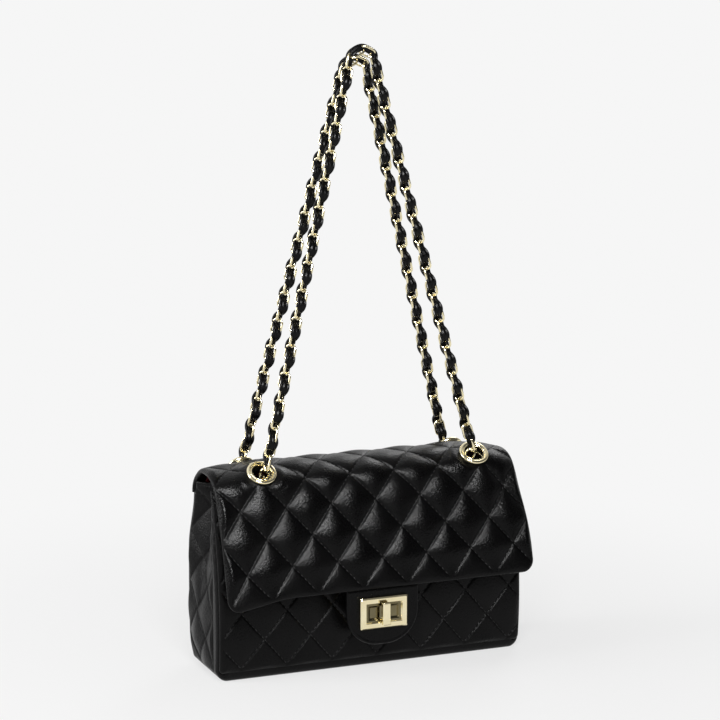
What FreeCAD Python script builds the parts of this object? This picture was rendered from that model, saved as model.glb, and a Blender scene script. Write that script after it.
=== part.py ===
import FreeCAD, Part
import math
import os

import Sketcher

# Chain shoulder bag: quilted body with a turning flap, a quarter-turn lock and a doubled chain strap.
# Millimetres. X runs to the wearer's right in the photograph, the front faces -Y, Z is up,
# and the origin is the centre of the base's underside.

SIZES = (
    # body
    ("bag_width", 250, "outside width across the two gussets"),
    ("base_depth", 62, "front to back at the base"),
    ("base_inset", 6, "base panel short of the gussets on each side"),
    ("base_thick", 6, "base panel with its padding"),
    ("base_edge_slope", 4, "sloping lower edge of the base panel"),
    ("base_corner", 6, "sloping corners of the base panel seen from above"),
    ("board_thick", 2, "stiff board inside the base"),
    ("board_margin", 14, "board short of the base panel's ends"),
    ("mouth_drop", 28, "top edge of the front and back panels below the flap's ridge"),
    ("panel_thick", 4, "quilted leather with its padding"),
    ("panel_corner", 12, "lower corners of the front and back panels"),
    ("front_belly", 32, "foremost reach of the front panel from the middle"),
    ("front_belly_height", 42, "height of that foremost reach"),
    ("front_sweep", 302, "radius of the front panel's curve, leaning back to the mouth"),
    ("back_belly", 33, "rearmost reach of the back panel from the middle"),
    ("back_belly_height", 60, "height of that rearmost reach"),
    ("back_sweep", 700, "radius of the back panel's curve"),
    ("gusset_tuck", 5, "gussets drawn in at the base"),
    ("gusset_full_height", 30, "height at which the gussets reach the full width"),
    ("gusset_fold", 12, "depth of the inward fold of each gusset at the mouth"),
    ("gusset_drop", 3, "gussets end this far under the mouth"),
    ("lining_thick", 1, "red lining"),
    ("sewn_gap", 0.2, "gap between layers that are sewn together"),
    ("quilt_width", 36.5, "a diamond of the quilting across the bag"),
    ("quilt_height", 44.4, "a diamond of the quilting up and down"),
    ("seam_sink", 0.4, "padding starts this far under the leather's outer face"),
    ("pocket_width", 150, "slip pocket on the back lining"),
    ("pocket_height", 80, "slip pocket from the base lining up"),
    # flap
    ("flap_overhang", 1, "flap past the bag's side at each end"),
    ("flap_thick", 4, "quilted flap with its padding"),
    ("hinge_gap", 0.4, "flap's rear edge above the back panel"),
    ("ridge_height", 164, "top of the flap"),
    ("ridge_rear", 3, "where the rear shoulder's curve starts, behind the middle"),
    ("ridge_flat", 9, "flat crown from there to the front shoulder's curve"),
    ("shoulder_radius", 30, "front shoulder's curve"),
    ("shoulder_flats", 5, "flat sides that stand for the front shoulder's curve"),
    ("rear_flats", 7, "flat sides that stand for the rear shoulder's curve"),
    ("flap_quilt_start", 8, "a row of crossing seams below the top of the flap's sloping front"),
    ("flap_puff", 3, "padding of the flap in the middle of a diamond"),
    ("flap_lean_angle", 16, "flap front off the vertical, degrees"),
    ("flap_edge_height", 69, "lower edge of the flap"),
    ("flap_corner", 14, "lower corners of the flap"),
    # tab and lock
    ("tab_width", 59, "closure tab"),
    ("tab_thick", 3.5, "closure tab, two layers"),
    ("tab_drop", 46, "tab's lowest point below the flap's lower edge"),
    ("tab_corner", 26, "round lower corners of the tab"),
    ("tab_overlap", 12, "tab sewn behind the flap's lower edge"),
    ("tab_knee", 1, "tab bends upright this far below the flap's edge"),
    ("lock_drop", 20, "centre of the lock below the flap's lower edge"),
    ("frame_width", 38.6, "lock frame"),
    ("frame_height", 24.5, "lock frame"),
    ("frame_depth", 3.5, "lock frame stands off the tab"),
    ("frame_border", 5.2, "lock frame between its outside and its window"),
    ("frame_bevel", 2.2, "slope round the window"),
    ("frame_edge", 0.8, "softened outer edge of the frame"),
    ("plate_thick", 0.8, "floor plate in the window and plate behind the tab"),
    ("plate_fit", 0.15, "floor plate short of the window on each side"),
    ("back_plate_inset", 2.5, "plate behind the tab short of the frame"),
    ("bar_width", 6.3, "turn bar"),
    ("bar_length", 17.5, "turn bar"),
    ("bar_thick", 3.5, "turn bar"),
    ("bar_edge", 0.9, "softened front edge of the turn bar"),
    ("bar_stand", 4.8, "turn bar's back above the floor plate"),
    ("spindle_wide", 4, "diameter of the lock's spindle"),
    ("spindle_fit", 0.5, "holes for the spindle are wider by this"),
    ("foot_length", 12, "foot on the spindle's rear end"),
    ("foot_width", 4, "foot"),
    ("foot_thick", 2, "foot"),
    ("keeper_width", 26, "keeper on the front panel"),
    ("keeper_height", 34, "keeper"),
    ("keeper_wall", 1.5, "keeper's walls and slotted face"),
    ("keeper_edge", 2, "rounded corners of the keeper"),
    ("keeper_stand", 1.8, "keeper's face behind the plate at the tab's back"),
    ("keeper_slot_play", 0.7, "slot wider than the foot on each side"),
    ("keeper_slot_rise", 6, "slot taller than the foot above, as the flap lifts it away"),
    ("foot_play", 0.8, "foot behind the keeper's slotted face"),
    # eyelets
    ("eyelet_inset", 37.5, "eyelets in from the bag's sides"),
    ("front_eyelet_angle", 34, "front eyelets turned forward off the vertical, degrees"),
    ("rear_eyelet_angle", 57, "rear eyelets turned back off the vertical, degrees"),
    ("eyelet_sides", 12, "flat sides that stand for an eyelet's round"),
    ("eyelet_wide", 23, "outside of an eyelet's flange"),
    ("eyelet_bore", 16, "hole through an eyelet"),
    ("eyelet_wall", 0.9, "tube of an eyelet"),
    ("eyelet_crown", 2.2, "height of the flange"),
    ("eyelet_slope", 1.1, "sloping inner and outer sides of the flange"),
    ("eyelet_fit", 0.2, "hole in the leather is larger than the tube"),
    ("hole_sides", 12, "flat sides that stand for a hole's round"),
    ("eyelet_seat", 0.1, "flange above the leather"),
    ("eyelet_end", 0.9, "tube past the washer, pressed over it"),
    ("washer_wide", 21, "washer under the leather"),
    ("washer_thick", 0.9, "washer"),
    # strap
    ("link_pitch", 10.6, "one link to the next along the strap"),
    ("link_width", 9.6, "outside width of a link"),
    ("link_wire", 1.6, "wire of a link, drawn square"),
    ("link_gap", 0.3, "slack between linked wires"),
    ("bend_slack", 0.8, "more slack where the strap bends sharply at the top"),
    ("inner_slack", 0.3, "more slack on the inner runs"),
    ("strand_links", 30, "links on one straight strand"),
    ("inner_links", 5, "links of an inner run between its two eyelet links"),
    ("pivot_rise", 6, "strap's pivot above the leather, in the eyelet's axis"),
    ("top_gap", 14, "front and rear loops apart at the top"),
    ("lace_width", 3, "leather lace"),
    ("lace_thick", 1, "leather lace"),
    ("lace_sway", 3.6, "lace's middle off the strand's middle where it passes a junction"),
    ("lace_top_sway", 5.8, "lace's middle off the strap's middle over the top bend"),
    ("lace_flat", 4, "length over which the lace lies on a junction"),
    ("lace_free_links", 5, "links at the eyelet that the lace leaves free"),
    ("cut_overrun", 5, "cuts run past what they cut"),
)

# Links next to an eyelet twist step by step from upright to the strand's own lie, degrees.
PIVOT_TWIST_ANGLES = (90, 9, -72, 27, -54)
STRAND_TWIST_ANGLE = 45
END_FACET_ANGLE = 60
STRAIGHT_ANGLE = 15
QUARTER_ANGLE = 90
# Rows of diamonds on the flap, counted in half diamonds down from the row of seams that they start from.
FLAP_ROWS = range(-3, 3)


class Dim:
    """A length worked out from the sheet: its number now, and the expression that keeps it bound."""

    def __init__(self, text, value):
        self.text = text
        self.value = value

    def joined(self, sign, other, value):
        return Dim("(%s %s %s)" % (self.text, sign, dim(other).text), value)

    def __add__(self, other):
        return self.joined("+", other, self.value + dim(other).value)

    def __sub__(self, other):
        return self.joined("-", other, self.value - dim(other).value)

    def __mul__(self, other):
        return self.joined("*", other, self.value * dim(other).value)

    def __truediv__(self, other):
        return self.joined("/", other, self.value / dim(other).value)

    def __neg__(self):
        return Dim("(0 - %s)" % self.text, -self.value)


def dim(thing):
    return thing if isinstance(thing, Dim) else Dim(repr(thing), float(thing))


def size(alias):
    return Dim("Sizes." + alias, float(sheet.get(alias)))


def sine(angle):
    return Dim("sin(%s)" % angle.text, math.sin(math.radians(angle.value)))


def cosine(angle):
    return Dim("cos(%s)" % angle.text, math.cos(math.radians(angle.value)))


def tangent(angle):
    return Dim("tan(%s)" % angle.text, math.tan(math.radians(angle.value)))


def root(square):
    return Dim("sqrt(%s)" % square.text, math.sqrt(square.value))


doc = FreeCAD.newDocument("ChainShoulderBag")
sheet = doc.addObject("Spreadsheet::Sheet", "Sizes")
for row, (alias, number, meaning) in enumerate(SIZES, 1):
    sheet.set("A%d" % row, meaning)
    sheet.set("B%d" % row, str(number))
    sheet.setAlias("B%d" % row, alias)
doc.recompute()

V = FreeCAD.Vector
ZERO = dim(0)
X_AXIS = V(1, 0, 0)
subparts = []


def keep(thing, label):
    thing.Label = label
    subparts.append(thing)
    return thing


def new_body(label):
    return keep(doc.addObject("PartDesign::Body", label), label)


def new_sketch(body, plane, name):
    sketch = body.newObject("Sketcher::SketchObject", name)
    support = [f for f in body.Origin.OriginFeatures if f.Role == plane][0]
    sketch.AttachmentSupport = [(support, "")]
    sketch.MapMode = "FlatFace"
    return sketch


def hold_point(sketch, segment, end, place):
    """Ties one point of a sketch to two worked-out lengths from the origin."""
    for kind, axis, length in (("DistanceX", -2, place[0]), ("DistanceY", -1, place[1])):
        if length is ZERO:
            sketch.addConstraint(Sketcher.Constraint("PointOnObject", segment, end, axis))
            continue
        number = sketch.addConstraint(Sketcher.Constraint(kind, -1, 1, segment, end, length.value))
        sketch.setExpression("Constraints[%d]" % number, length.text)


def arc_between(start, finish, radius, turn):
    """Arc under a half circle, with its centre on the left (turn 1) or the right (turn -1)."""
    chord = finish - start
    middle = (start + finish) * 0.5
    reach = math.sqrt(radius * radius - chord.Length * chord.Length / 4)
    left = V(-chord.y, chord.x, 0).normalize()
    centre = middle + left * (turn * reach)
    first, last = (start, finish) if turn > 0 else (finish, start)
    angles = [math.atan2(p.y - centre.y, p.x - centre.x) for p in (first, last)]
    return Part.ArcOfCircle(Part.Circle(centre, V(0, 0, 1), radius), angles[0], angles[1])


def outline(sketch, corners, arcs=None):
    """Closed outline through corners; arcs maps a segment's number to its radius and turn."""
    arcs = arcs or {}
    places = [V(x.value, y.value, 0) for x, y in corners]
    ends = []
    for index, start in enumerate(places):
        finish = places[(index + 1) % len(places)]
        if index in arcs:
            radius, turn = arcs[index]
            shape = arc_between(start, finish, radius.value, turn)
        else:
            turn = 1
            shape = Part.LineSegment(start, finish)
        number = sketch.addGeometry(shape)
        ends.append((number, 1, 2) if turn > 0 else (number, 2, 1))
    for index, (number, first, last) in enumerate(ends):
        following = ends[(index + 1) % len(ends)]
        sketch.addConstraint(Sketcher.Constraint("Coincident", number, last, following[0], following[1]))
    for (number, first, last), place in zip(ends, corners):
        hold_point(sketch, number, first, place)
    for index, (radius, turn) in arcs.items():
        tie = sketch.addConstraint(Sketcher.Constraint("Radius", ends[index][0], radius.value))
        sketch.setExpression("Constraints[%d]" % tie, radius.text)


def rectangle(sketch, left, right, low, high):
    outline(sketch, [(left, low), (right, low), (right, high), (left, high)])


def polygon(sketch, across, up, diameter, count):
    """A round drawn with flat sides that touch its circle."""
    sides = int(size(count).value)
    step = math.pi / sides
    corner = diameter / 2 / math.cos(step)
    angles = [step * (2 * index + 1) for index in range(sides)]
    outline(sketch, [(across + corner * math.cos(a), up + corner * math.sin(a)) for a in angles])


def feature(body, kind, sketch, length, both_sides=False, name="Pad"):
    made = body.newObject("PartDesign::" + kind, name)
    made.Profile = sketch
    made.setExpression("Length", length.text)
    if both_sides:
        made.SideType = "Symmetric"
    doc.recompute()
    return made


def dress(body, kind, amount, base, chosen):
    """Rounds or slopes the edges of the base feature that the test picks."""
    names = ["Edge%d" % (i + 1) for i, edge in enumerate(base.Shape.Edges) if chosen(edge)]
    made = body.newObject("PartDesign::" + kind, kind)
    made.Base = (base, names)
    made.setExpression("Radius" if kind == "Fillet" else "Size", amount.text)
    doc.recompute()
    return made


def along(edge, axis):
    """True for a straight edge that runs along the axis."""
    if not isinstance(edge.Curve, (Part.Line, Part.LineSegment)):
        return False
    run = edge.lastVertex().Point - edge.firstVertex().Point
    return abs(run.normalize().dot(axis)) > math.cos(math.radians(STRAIGHT_ANGLE))


def near(number, target):
    return abs(number - target.value) < size("sewn_gap").value


def place(thing, across=ZERO, back=ZERO, up=ZERO):
    for name, length in (("x", across), ("y", back), ("z", up)):
        thing.setExpression("Placement.Base." + name, length.text)


half_width = size("bag_width") / 2
half_depth = size("base_depth") / 2
base_top = size("base_thick")
mouth = size("ridge_height") - size("mouth_drop")
layer = size("sewn_gap")
flap_edge = size("flap_edge_height")
lock_level = flap_edge - size("lock_drop")
eyelet_place = half_width - size("eyelet_inset")


def front_reach(height, inset):
    """Y of the front panel's curve at a height, a given depth inside its outer face."""
    rise = height - size("front_belly_height")
    sweep = size("front_sweep") - inset
    return size("front_sweep") - size("front_belly") - root(sweep * sweep - rise * rise)


def back_reach(height, inset):
    rise = height - size("back_belly_height")
    sweep = size("back_sweep") - inset
    return size("back_belly") - size("back_sweep") + root(sweep * sweep - rise * rise)


WALLS = {"front": (front_reach, size("front_sweep"), 1), "back": (back_reach, size("back_sweep"), -1)}


def wall(label, side, inset, thick, width, low, high):
    """Curved wall between two heights, its outer face a given depth inside the bag's outside."""
    reach, sweep, turn = WALLS[side]
    body = new_body(label)
    sketch = new_sketch(body, "YZ_Plane", label + "_section")
    inner = inset + thick
    corners = [
        (reach(high, inset), high),
        (reach(low, inset), low),
        (reach(low, inner), low),
        (reach(high, inner), high),
    ]
    outline(sketch, corners, {0: (sweep - inset, turn), 2: (sweep - inner, -turn)})
    feature(body, "Pad", sketch, width, both_sides=True)
    return body


def round_lower_corners(body, low):
    dress(body, "Fillet", size("panel_corner"), body.Tip,
          lambda e: near(e.CenterOfMass.z, low) and not along(e, X_AXIS))


def base():
    body = new_body("base_panel")
    sketch = new_sketch(body, "XY_Plane", "base_outline")
    reach = half_width - size("base_inset")
    rectangle(sketch, -reach, reach, -half_depth, half_depth)
    pad = feature(body, "Pad", sketch, base_top)
    corners = dress(body, "Chamfer", size("base_corner"), pad, lambda e: along(e, V(0, 0, 1)))
    dress(body, "Chamfer", size("base_edge_slope"), corners, lambda e: near(e.BoundBox.ZMax, ZERO))

    depth = front_reach(base_top, size("panel_thick")) * -1 - layer
    for label, thick, level in (
        ("base_board", size("board_thick"), base_top),
        ("lining_base", size("lining_thick"), base_top + size("board_thick") + layer),
    ):
        sheet_body = new_body(label)
        plan = new_sketch(sheet_body, "XY_Plane", label + "_outline")
        length = reach - size("board_margin")
        rectangle(plan, -length, length, -depth, depth)
        feature(sheet_body, "Pad", plan, thick)
        place(sheet_body, up=level)


base()

lining_inset = size("panel_thick") + layer
lining_low = base_top + size("board_thick") + size("lining_thick") + layer * 2
lining_high = mouth - size("gusset_drop")
for wall_side in ("front", "back"):
    panel = wall(wall_side + "_panel", wall_side, ZERO, size("panel_thick"), size("bag_width"),
                 base_top, mouth)
    round_lower_corners(panel, base_top)
    wall("lining_" + wall_side, wall_side, lining_inset, size("lining_thick"),
         (half_width - size("gusset_fold") - size("panel_thick") * 2) * 2, lining_low, mouth - layer)
lining_face = lining_inset + size("lining_thick") + layer
wall("slip_pocket", "back", lining_face, size("lining_thick"),
     size("pocket_width"), lining_low, lining_low + size("pocket_height"))


def gusset(name, inset, thick, wall_inset, low):
    """End wall drawn in at the base, with a triangle folded in at the mouth, trimmed to the bag's inside."""
    overrun = size("cut_overrun").value
    reach = half_width.value
    foot, full, top = low.value, size("gusset_full_height").value, lining_high.value
    side = -reach + inset.value
    drawn = side + size("gusset_tuck").value
    front_fold, back_fold = front_reach(mouth, lining_inset).value, back_reach(mouth, lining_inset).value
    crease = V(side, (front_fold + back_fold) / 2, full)
    peak = V(side + size("gusset_fold").value, crease.y, top)
    outside = (
        (V(drawn, -reach, foot), V(drawn, reach, foot), V(side, reach, full), V(side, -reach, full)),
        (V(side, -reach, full), crease, V(side, front_fold, top), V(side, -reach, top)),
        (V(side, reach, full), V(side, reach, top), V(side, back_fold, top), crease),
        (V(side, front_fold, top), crease, peak),
        (V(side, back_fold, top), peak, crease),
    )
    leaves = [Part.Face(Part.makePolygon(leaf + leaf[:1])).extrude(X_AXIS * thick.value) for leaf in outside]
    folded = leaves[0].multiFuse(leaves[1:]).removeSplitter()

    def edge(reach_at):
        heights = (foot - overrun, (foot + top) / 2, top + overrun)
        return [V(-reach - overrun, reach_at(dim(h), wall_inset).value, h) for h in heights]

    front, back = edge(front_reach), edge(back_reach)
    sides = [
        Part.Arc(*front).toShape(), Part.LineSegment(front[2], back[2]).toShape(),
        Part.Arc(back[2], back[1], back[0]).toShape(), Part.LineSegment(back[0], front[0]).toShape(),
    ]
    inside = Part.Face(Part.Wire(sides)).extrude(X_AXIS * (reach + overrun))
    left = doc.addObject("Part::Feature", name + "_left")
    left.Shape = folded.common(inside).Solids[0]
    return left


def mirrored(source, label):
    twin = doc.addObject("Part::Mirroring", label)
    twin.Source = source
    twin.Normal = X_AXIS
    return keep(twin, label)


keep(gusset("gusset", ZERO, size("panel_thick"), lining_inset, base_top), "left_gusset")
mirrored(subparts[-1], "right_gusset")
keep(gusset("lining", lining_inset, size("lining_thick"), lining_face, lining_low), "lining_left")
mirrored(subparts[-1], "lining_right")

rear_edge = back_reach(mouth, ZERO)
rear_radius = rear_edge - size("ridge_rear")
rear_centre = (size("ridge_rear"), size("ridge_height") - rear_radius)
front_centre = (size("ridge_rear") - size("ridge_flat"), size("ridge_height") - size("shoulder_radius"))
lean = size("flap_lean_angle")
slope_top = (
    front_centre[0] - size("shoulder_radius") * cosine(lean),
    front_centre[1] + size("shoulder_radius") * sine(lean),
)
slope_end = (
    slope_top[0] - (slope_top[1] - flap_edge) * tangent(lean),
    flap_edge,
)


def inward(point, depth):
    """A point of the flap's sloping front moved square to it, towards the body."""
    return (point[0] + depth * cosine(lean), point[1] - depth * sine(lean))


def eyelet_seat(turn):
    """Middle of an eyelet on the flap's outer face: the front ones turn forward, the rear ones back."""
    if turn is FRONT_TURN:
        centre, radius, away = front_centre, size("shoulder_radius"), -sine(turn)
    else:
        centre, radius, away = rear_centre, rear_radius, sine(turn)
    return (centre[0] + radius * away, centre[1] + radius * cosine(turn))


FRONT_TURN = size("front_eyelet_angle")
REAR_TURN = size("rear_eyelet_angle")
hole_wide = size("eyelet_bore") + (size("eyelet_wall") + size("eyelet_fit")) * 2


def bend(centre, radius, start, turn, count):
    """Points of an arc that is drawn with flat sides, its ends among them."""
    flats = int(size(count).value)
    angles = [start + turn * (index / flats) for index in range(flats + 1)]
    return [(centre[0] + radius * cosine(a), centre[1] + radius * sine(a)) for a in angles]


def flap_line(depth):
    """The flap's profile a depth inside its outer face, from its rear edge to its lower edge."""
    quarter = dim(QUARTER_ANGLE)
    return [
        (rear_edge - depth, mouth + size("hinge_gap")),
        *bend(rear_centre, rear_radius - depth, ZERO, quarter, "rear_flats"),
        *bend(front_centre, size("shoulder_radius") - depth, quarter, quarter - lean, "shoulder_flats"),
        inward(slope_end, depth),
    ]


def flap_layer(label, depth, thick):
    """One layer of the flap, from its rear edge over both shoulders to its lower edge."""
    body = new_body(label)
    sketch = new_sketch(body, "YZ_Plane", label + "_section")
    inner = depth + thick
    outline(sketch, flap_line(depth) + flap_line(inner)[::-1])
    pad = feature(body, "Pad", sketch, size("bag_width") + size("flap_overhang") * 2, both_sides=True)
    foot = (inward(slope_end, depth)[1] + inward(slope_end, inner)[1]) / 2
    dress(body, "Fillet", size("flap_corner"), pad,
          lambda e: near(e.CenterOfMass.z, foot) and not along(e, X_AXIS))
    for name, turn, sign in (("front_holes", FRONT_TURN, 1), ("rear_holes", REAR_TURN, -1)):
        holes = new_sketch(body, "XY_Plane", label + "_" + name)
        seat = eyelet_seat(turn)
        holes.AttachmentOffset = FreeCAD.Placement(V(0, 0, 0), FreeCAD.Rotation(X_AXIS, sign * turn.value))
        holes.setExpression("AttachmentOffset.Base.y", seat[0].text)
        holes.setExpression("AttachmentOffset.Base.z", seat[1].text)
        holes.setExpression("AttachmentOffset.Rotation.Angle", (turn * sign).text)
        for across in (-eyelet_place, eyelet_place):
            polygon(holes, across, ZERO, hole_wide, "hole_sides")
        feature(body, "Pocket", holes, size("shoulder_radius"), both_sides=True, name="Holes")
    return body


def flap_point(across, down, rise):
    """A point over the flap's outer face, a distance down from the top of its sloping front."""
    shoulder, tail = size("shoulder_radius").value, math.radians(lean.value)
    back = -down - shoulder * (math.pi / 2 - tail)
    crown = size("ridge_flat").value
    if down > 0:
        turn = math.pi - tail
        foot = [slope_top[0].value - down * math.sin(tail), slope_top[1].value - down * math.cos(tail)]
    elif back < 0:
        turn = math.pi / 2 - back / shoulder
        foot = [c.value + shoulder * f(turn) for c, f in zip(front_centre, (math.cos, math.sin))]
    elif back < crown:
        turn = math.pi / 2
        foot = [front_centre[0].value + back, size("ridge_height").value]
    else:
        turn = math.pi / 2 - (back - crown) / rear_radius.value
        foot = [c.value + rear_radius.value * f(turn) for c, f in zip(rear_centre, (math.cos, math.sin))]
    return V(across, foot[0] + rise * math.cos(turn), foot[1] + rise * math.sin(turn))


def eyelet_rooms(turn, sign):
    """What the eyelets keep clear of padding: their holes, and the rounds that their flanges cover."""
    out = V(0, -sign * sine(turn).value, cosine(turn).value)
    seat = eyelet_seat(turn)
    deep = size("shoulder_radius").value
    sides = int(size("hole_sides").value)
    step = math.pi / sides
    rooms = []
    for across in (-eyelet_place, eyelet_place):
        foot = V(across.value, seat[0].value, seat[1].value)
        for diameter, low in ((hole_wide, -deep), (size("eyelet_wide") + size("eyelet_fit") * 4, 0)):
            corner = diameter.value / 2 / math.cos(step)
            angles = [step * (2 * index + 1) for index in range(sides)]
            ring = [foot + out * low + X_AXIS * (corner * math.cos(a))
                    + out.cross(X_AXIS) * (corner * math.sin(a)) for a in angles]
            rooms.append(Part.Face(Part.makePolygon(ring + ring[:1])).extrude(out * (deep - low)))
    return rooms


def flap_puff(column, row):
    """Padding of the flap between its crossing seams: a low cone on one diamond, sunk into the leather."""
    wide, tall = size("quilt_width").value / 2, size("quilt_height").value / 2
    sink, reach = size("seam_sink").value, half_width.value + size("flap_overhang").value
    across, down = column * wide, size("flap_quilt_start").value + row * tall
    left, right = max(across - wide, sink - reach), min(across + wide, reach - sink)
    corners = [(left, down), (across, down - tall), (right, down), (across, down + tall)]
    rim = []
    for first, second in zip(corners, corners[1:] + corners[:1]):
        halfway = ((first[0] + second[0]) / 2, (first[1] + second[1]) / 2)
        rim += [flap_point(*first, -sink), flap_point(*halfway, -sink)]
    crown = flap_point(across, down, size("flap_puff").value)
    foot = flap_point(across, down, -size("flap_thick").value / 2)
    sides = []
    for first, second in zip(rim, rim[1:] + rim[:1]):
        sides.append(Part.Face(Part.makePolygon([first, second, crown, first])))
        sides.append(Part.Face(Part.makePolygon([second, first, foot, second])))
    puff = Part.Solid(Part.Shell(sides))
    if puff.Volume < 0:
        puff.reverse()
    return puff


def quilted_flap():
    """The flap with its padding joined on, and room cut for the eyelets."""
    plain = flap_layer("flap_plain", ZERO, size("flap_thick"))
    subparts.remove(plain)
    shape = plain.Shape.Solids[0]
    columns = int((half_width + size("flap_overhang")).value * 2 / size("quilt_width").value)
    for row in FLAP_ROWS:
        for column in range(-columns, columns + 1):
            if (row + column) % 2:
                shape = shape.fuse(flap_puff(column, row))
    for room in eyelet_rooms(FRONT_TURN, 1) + eyelet_rooms(REAR_TURN, -1):
        shape = shape.cut(room)
    padded = doc.addObject("Part::Feature", "flap")
    padded.Shape = shape.removeSplitter().Solids[0]
    keep(padded, "flap")


flap_lining_depth = size("flap_thick") + layer
quilted_flap()
flap_layer("flap_lining", flap_lining_depth, size("lining_thick"))

flap_whole = flap_lining_depth + size("lining_thick")


def ring(body, label, inside, outside, low, high):
    """A many-sided ring between two diameters and two levels along the body's own Z."""
    sketch = new_sketch(body, "XY_Plane", label)
    sketch.setExpression("AttachmentOffset.Base.z", low.text)
    for diameter in (outside, inside):
        polygon(sketch, ZERO, ZERO, diameter, "eyelet_sides")
    return feature(body, "Pad", sketch, high - low)


def eyelet_pair(name, turn, sign):
    """Flanged eyelets and the washers that they clamp under the flap, left and right."""
    bore = size("eyelet_bore")
    tube = bore + size("eyelet_wall") * 2
    crown = size("eyelet_crown")
    hidden = size("washer_wide") / 2
    tightest = rear_radius - flap_whole
    washer_top = -(flap_whole + tightest - root(tightest * tightest - hidden * hidden)) - layer
    washer_low = washer_top - size("washer_thick")
    seat = eyelet_seat(turn)
    lift = size("eyelet_seat")
    away = sine(turn) * -sign
    for side, across in (("left", -eyelet_place), ("right", eyelet_place)):
        eyelet = new_body("eyelet_%s_%s" % (name, side))
        ring(eyelet, "tube", bore, tube, washer_low - size("eyelet_end"), crown)
        flange = ring(eyelet, "flange", bore, size("eyelet_wide"), ZERO, crown)
        dress(eyelet, "Chamfer", size("eyelet_slope"), flange,
              lambda e: near(e.BoundBox.ZMin, crown) and near(e.BoundBox.ZMax, crown))
        washer = new_body("washer_%s_%s" % (name, side))
        ring(washer, "washer", tube + size("eyelet_fit") * 2, size("washer_wide"), washer_low, washer_top)
        for body in (eyelet, washer):
            body.Placement = FreeCAD.Placement(V(0, 0, 0), FreeCAD.Rotation(X_AXIS, sign * turn.value))
            body.setExpression("Placement.Rotation.Angle", (turn * sign).text)
            place(body, across, seat[0] + lift * away, seat[1] + lift * cosine(turn))


eyelet_pair("front", FRONT_TURN, 1)
eyelet_pair("rear", REAR_TURN, -1)


spindle_hole = size("spindle_wide") + size("spindle_fit")


def tab():
    """Closure tab: sewn behind the flap's lower edge, then hanging upright to a round end."""
    body = new_body("closure_tab")
    sketch = new_sketch(body, "YZ_Plane", "tab_section")
    thick = size("tab_thick")
    depth = flap_whole + layer
    start = inward(slope_end, depth)
    head = (start[0] + size("tab_overlap") * sine(lean), start[1] + size("tab_overlap") * cosine(lean))
    knee = (start[0] - size("tab_knee") * sine(lean), start[1] - size("tab_knee") * cosine(lean))
    low = flap_edge - size("tab_drop")
    corners = [
        head, knee, (knee[0], low), (knee[0] + thick, low),
        (knee[0] + thick, knee[1] - thick * tangent(lean / 2)), inward(head, thick),
    ]
    outline(sketch, corners)
    pad = feature(body, "Pad", sketch, size("tab_width"), both_sides=True)
    dress(body, "Fillet", size("tab_corner"), pad,
          lambda e: near(e.CenterOfMass.z, low) and not along(e, X_AXIS))
    hole = new_sketch(body, "XZ_Plane", "tab_hole")
    polygon(hole, ZERO, lock_level, spindle_hole, "hole_sides")
    feature(body, "Pocket", hole, size("bag_width"), both_sides=True, name="SpindleHole")
    return knee[0]


tab_front = tab()


def plate(label, face, width, height, depth, windows=(), level=lock_level):
    """Upright plate whose back is at Y = face, standing forward by its depth."""
    body = new_body(label)
    sketch = new_sketch(body, "XZ_Plane", label + "_outline")
    rectangle(sketch, -width / 2, width / 2, -height / 2, height / 2)
    for across, tall in windows:
        rectangle(sketch, -across / 2, across / 2, -tall / 2, tall / 2)
    pad = feature(body, "Pad", sketch, depth)
    place(body, back=face, up=level)
    return body, pad


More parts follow.
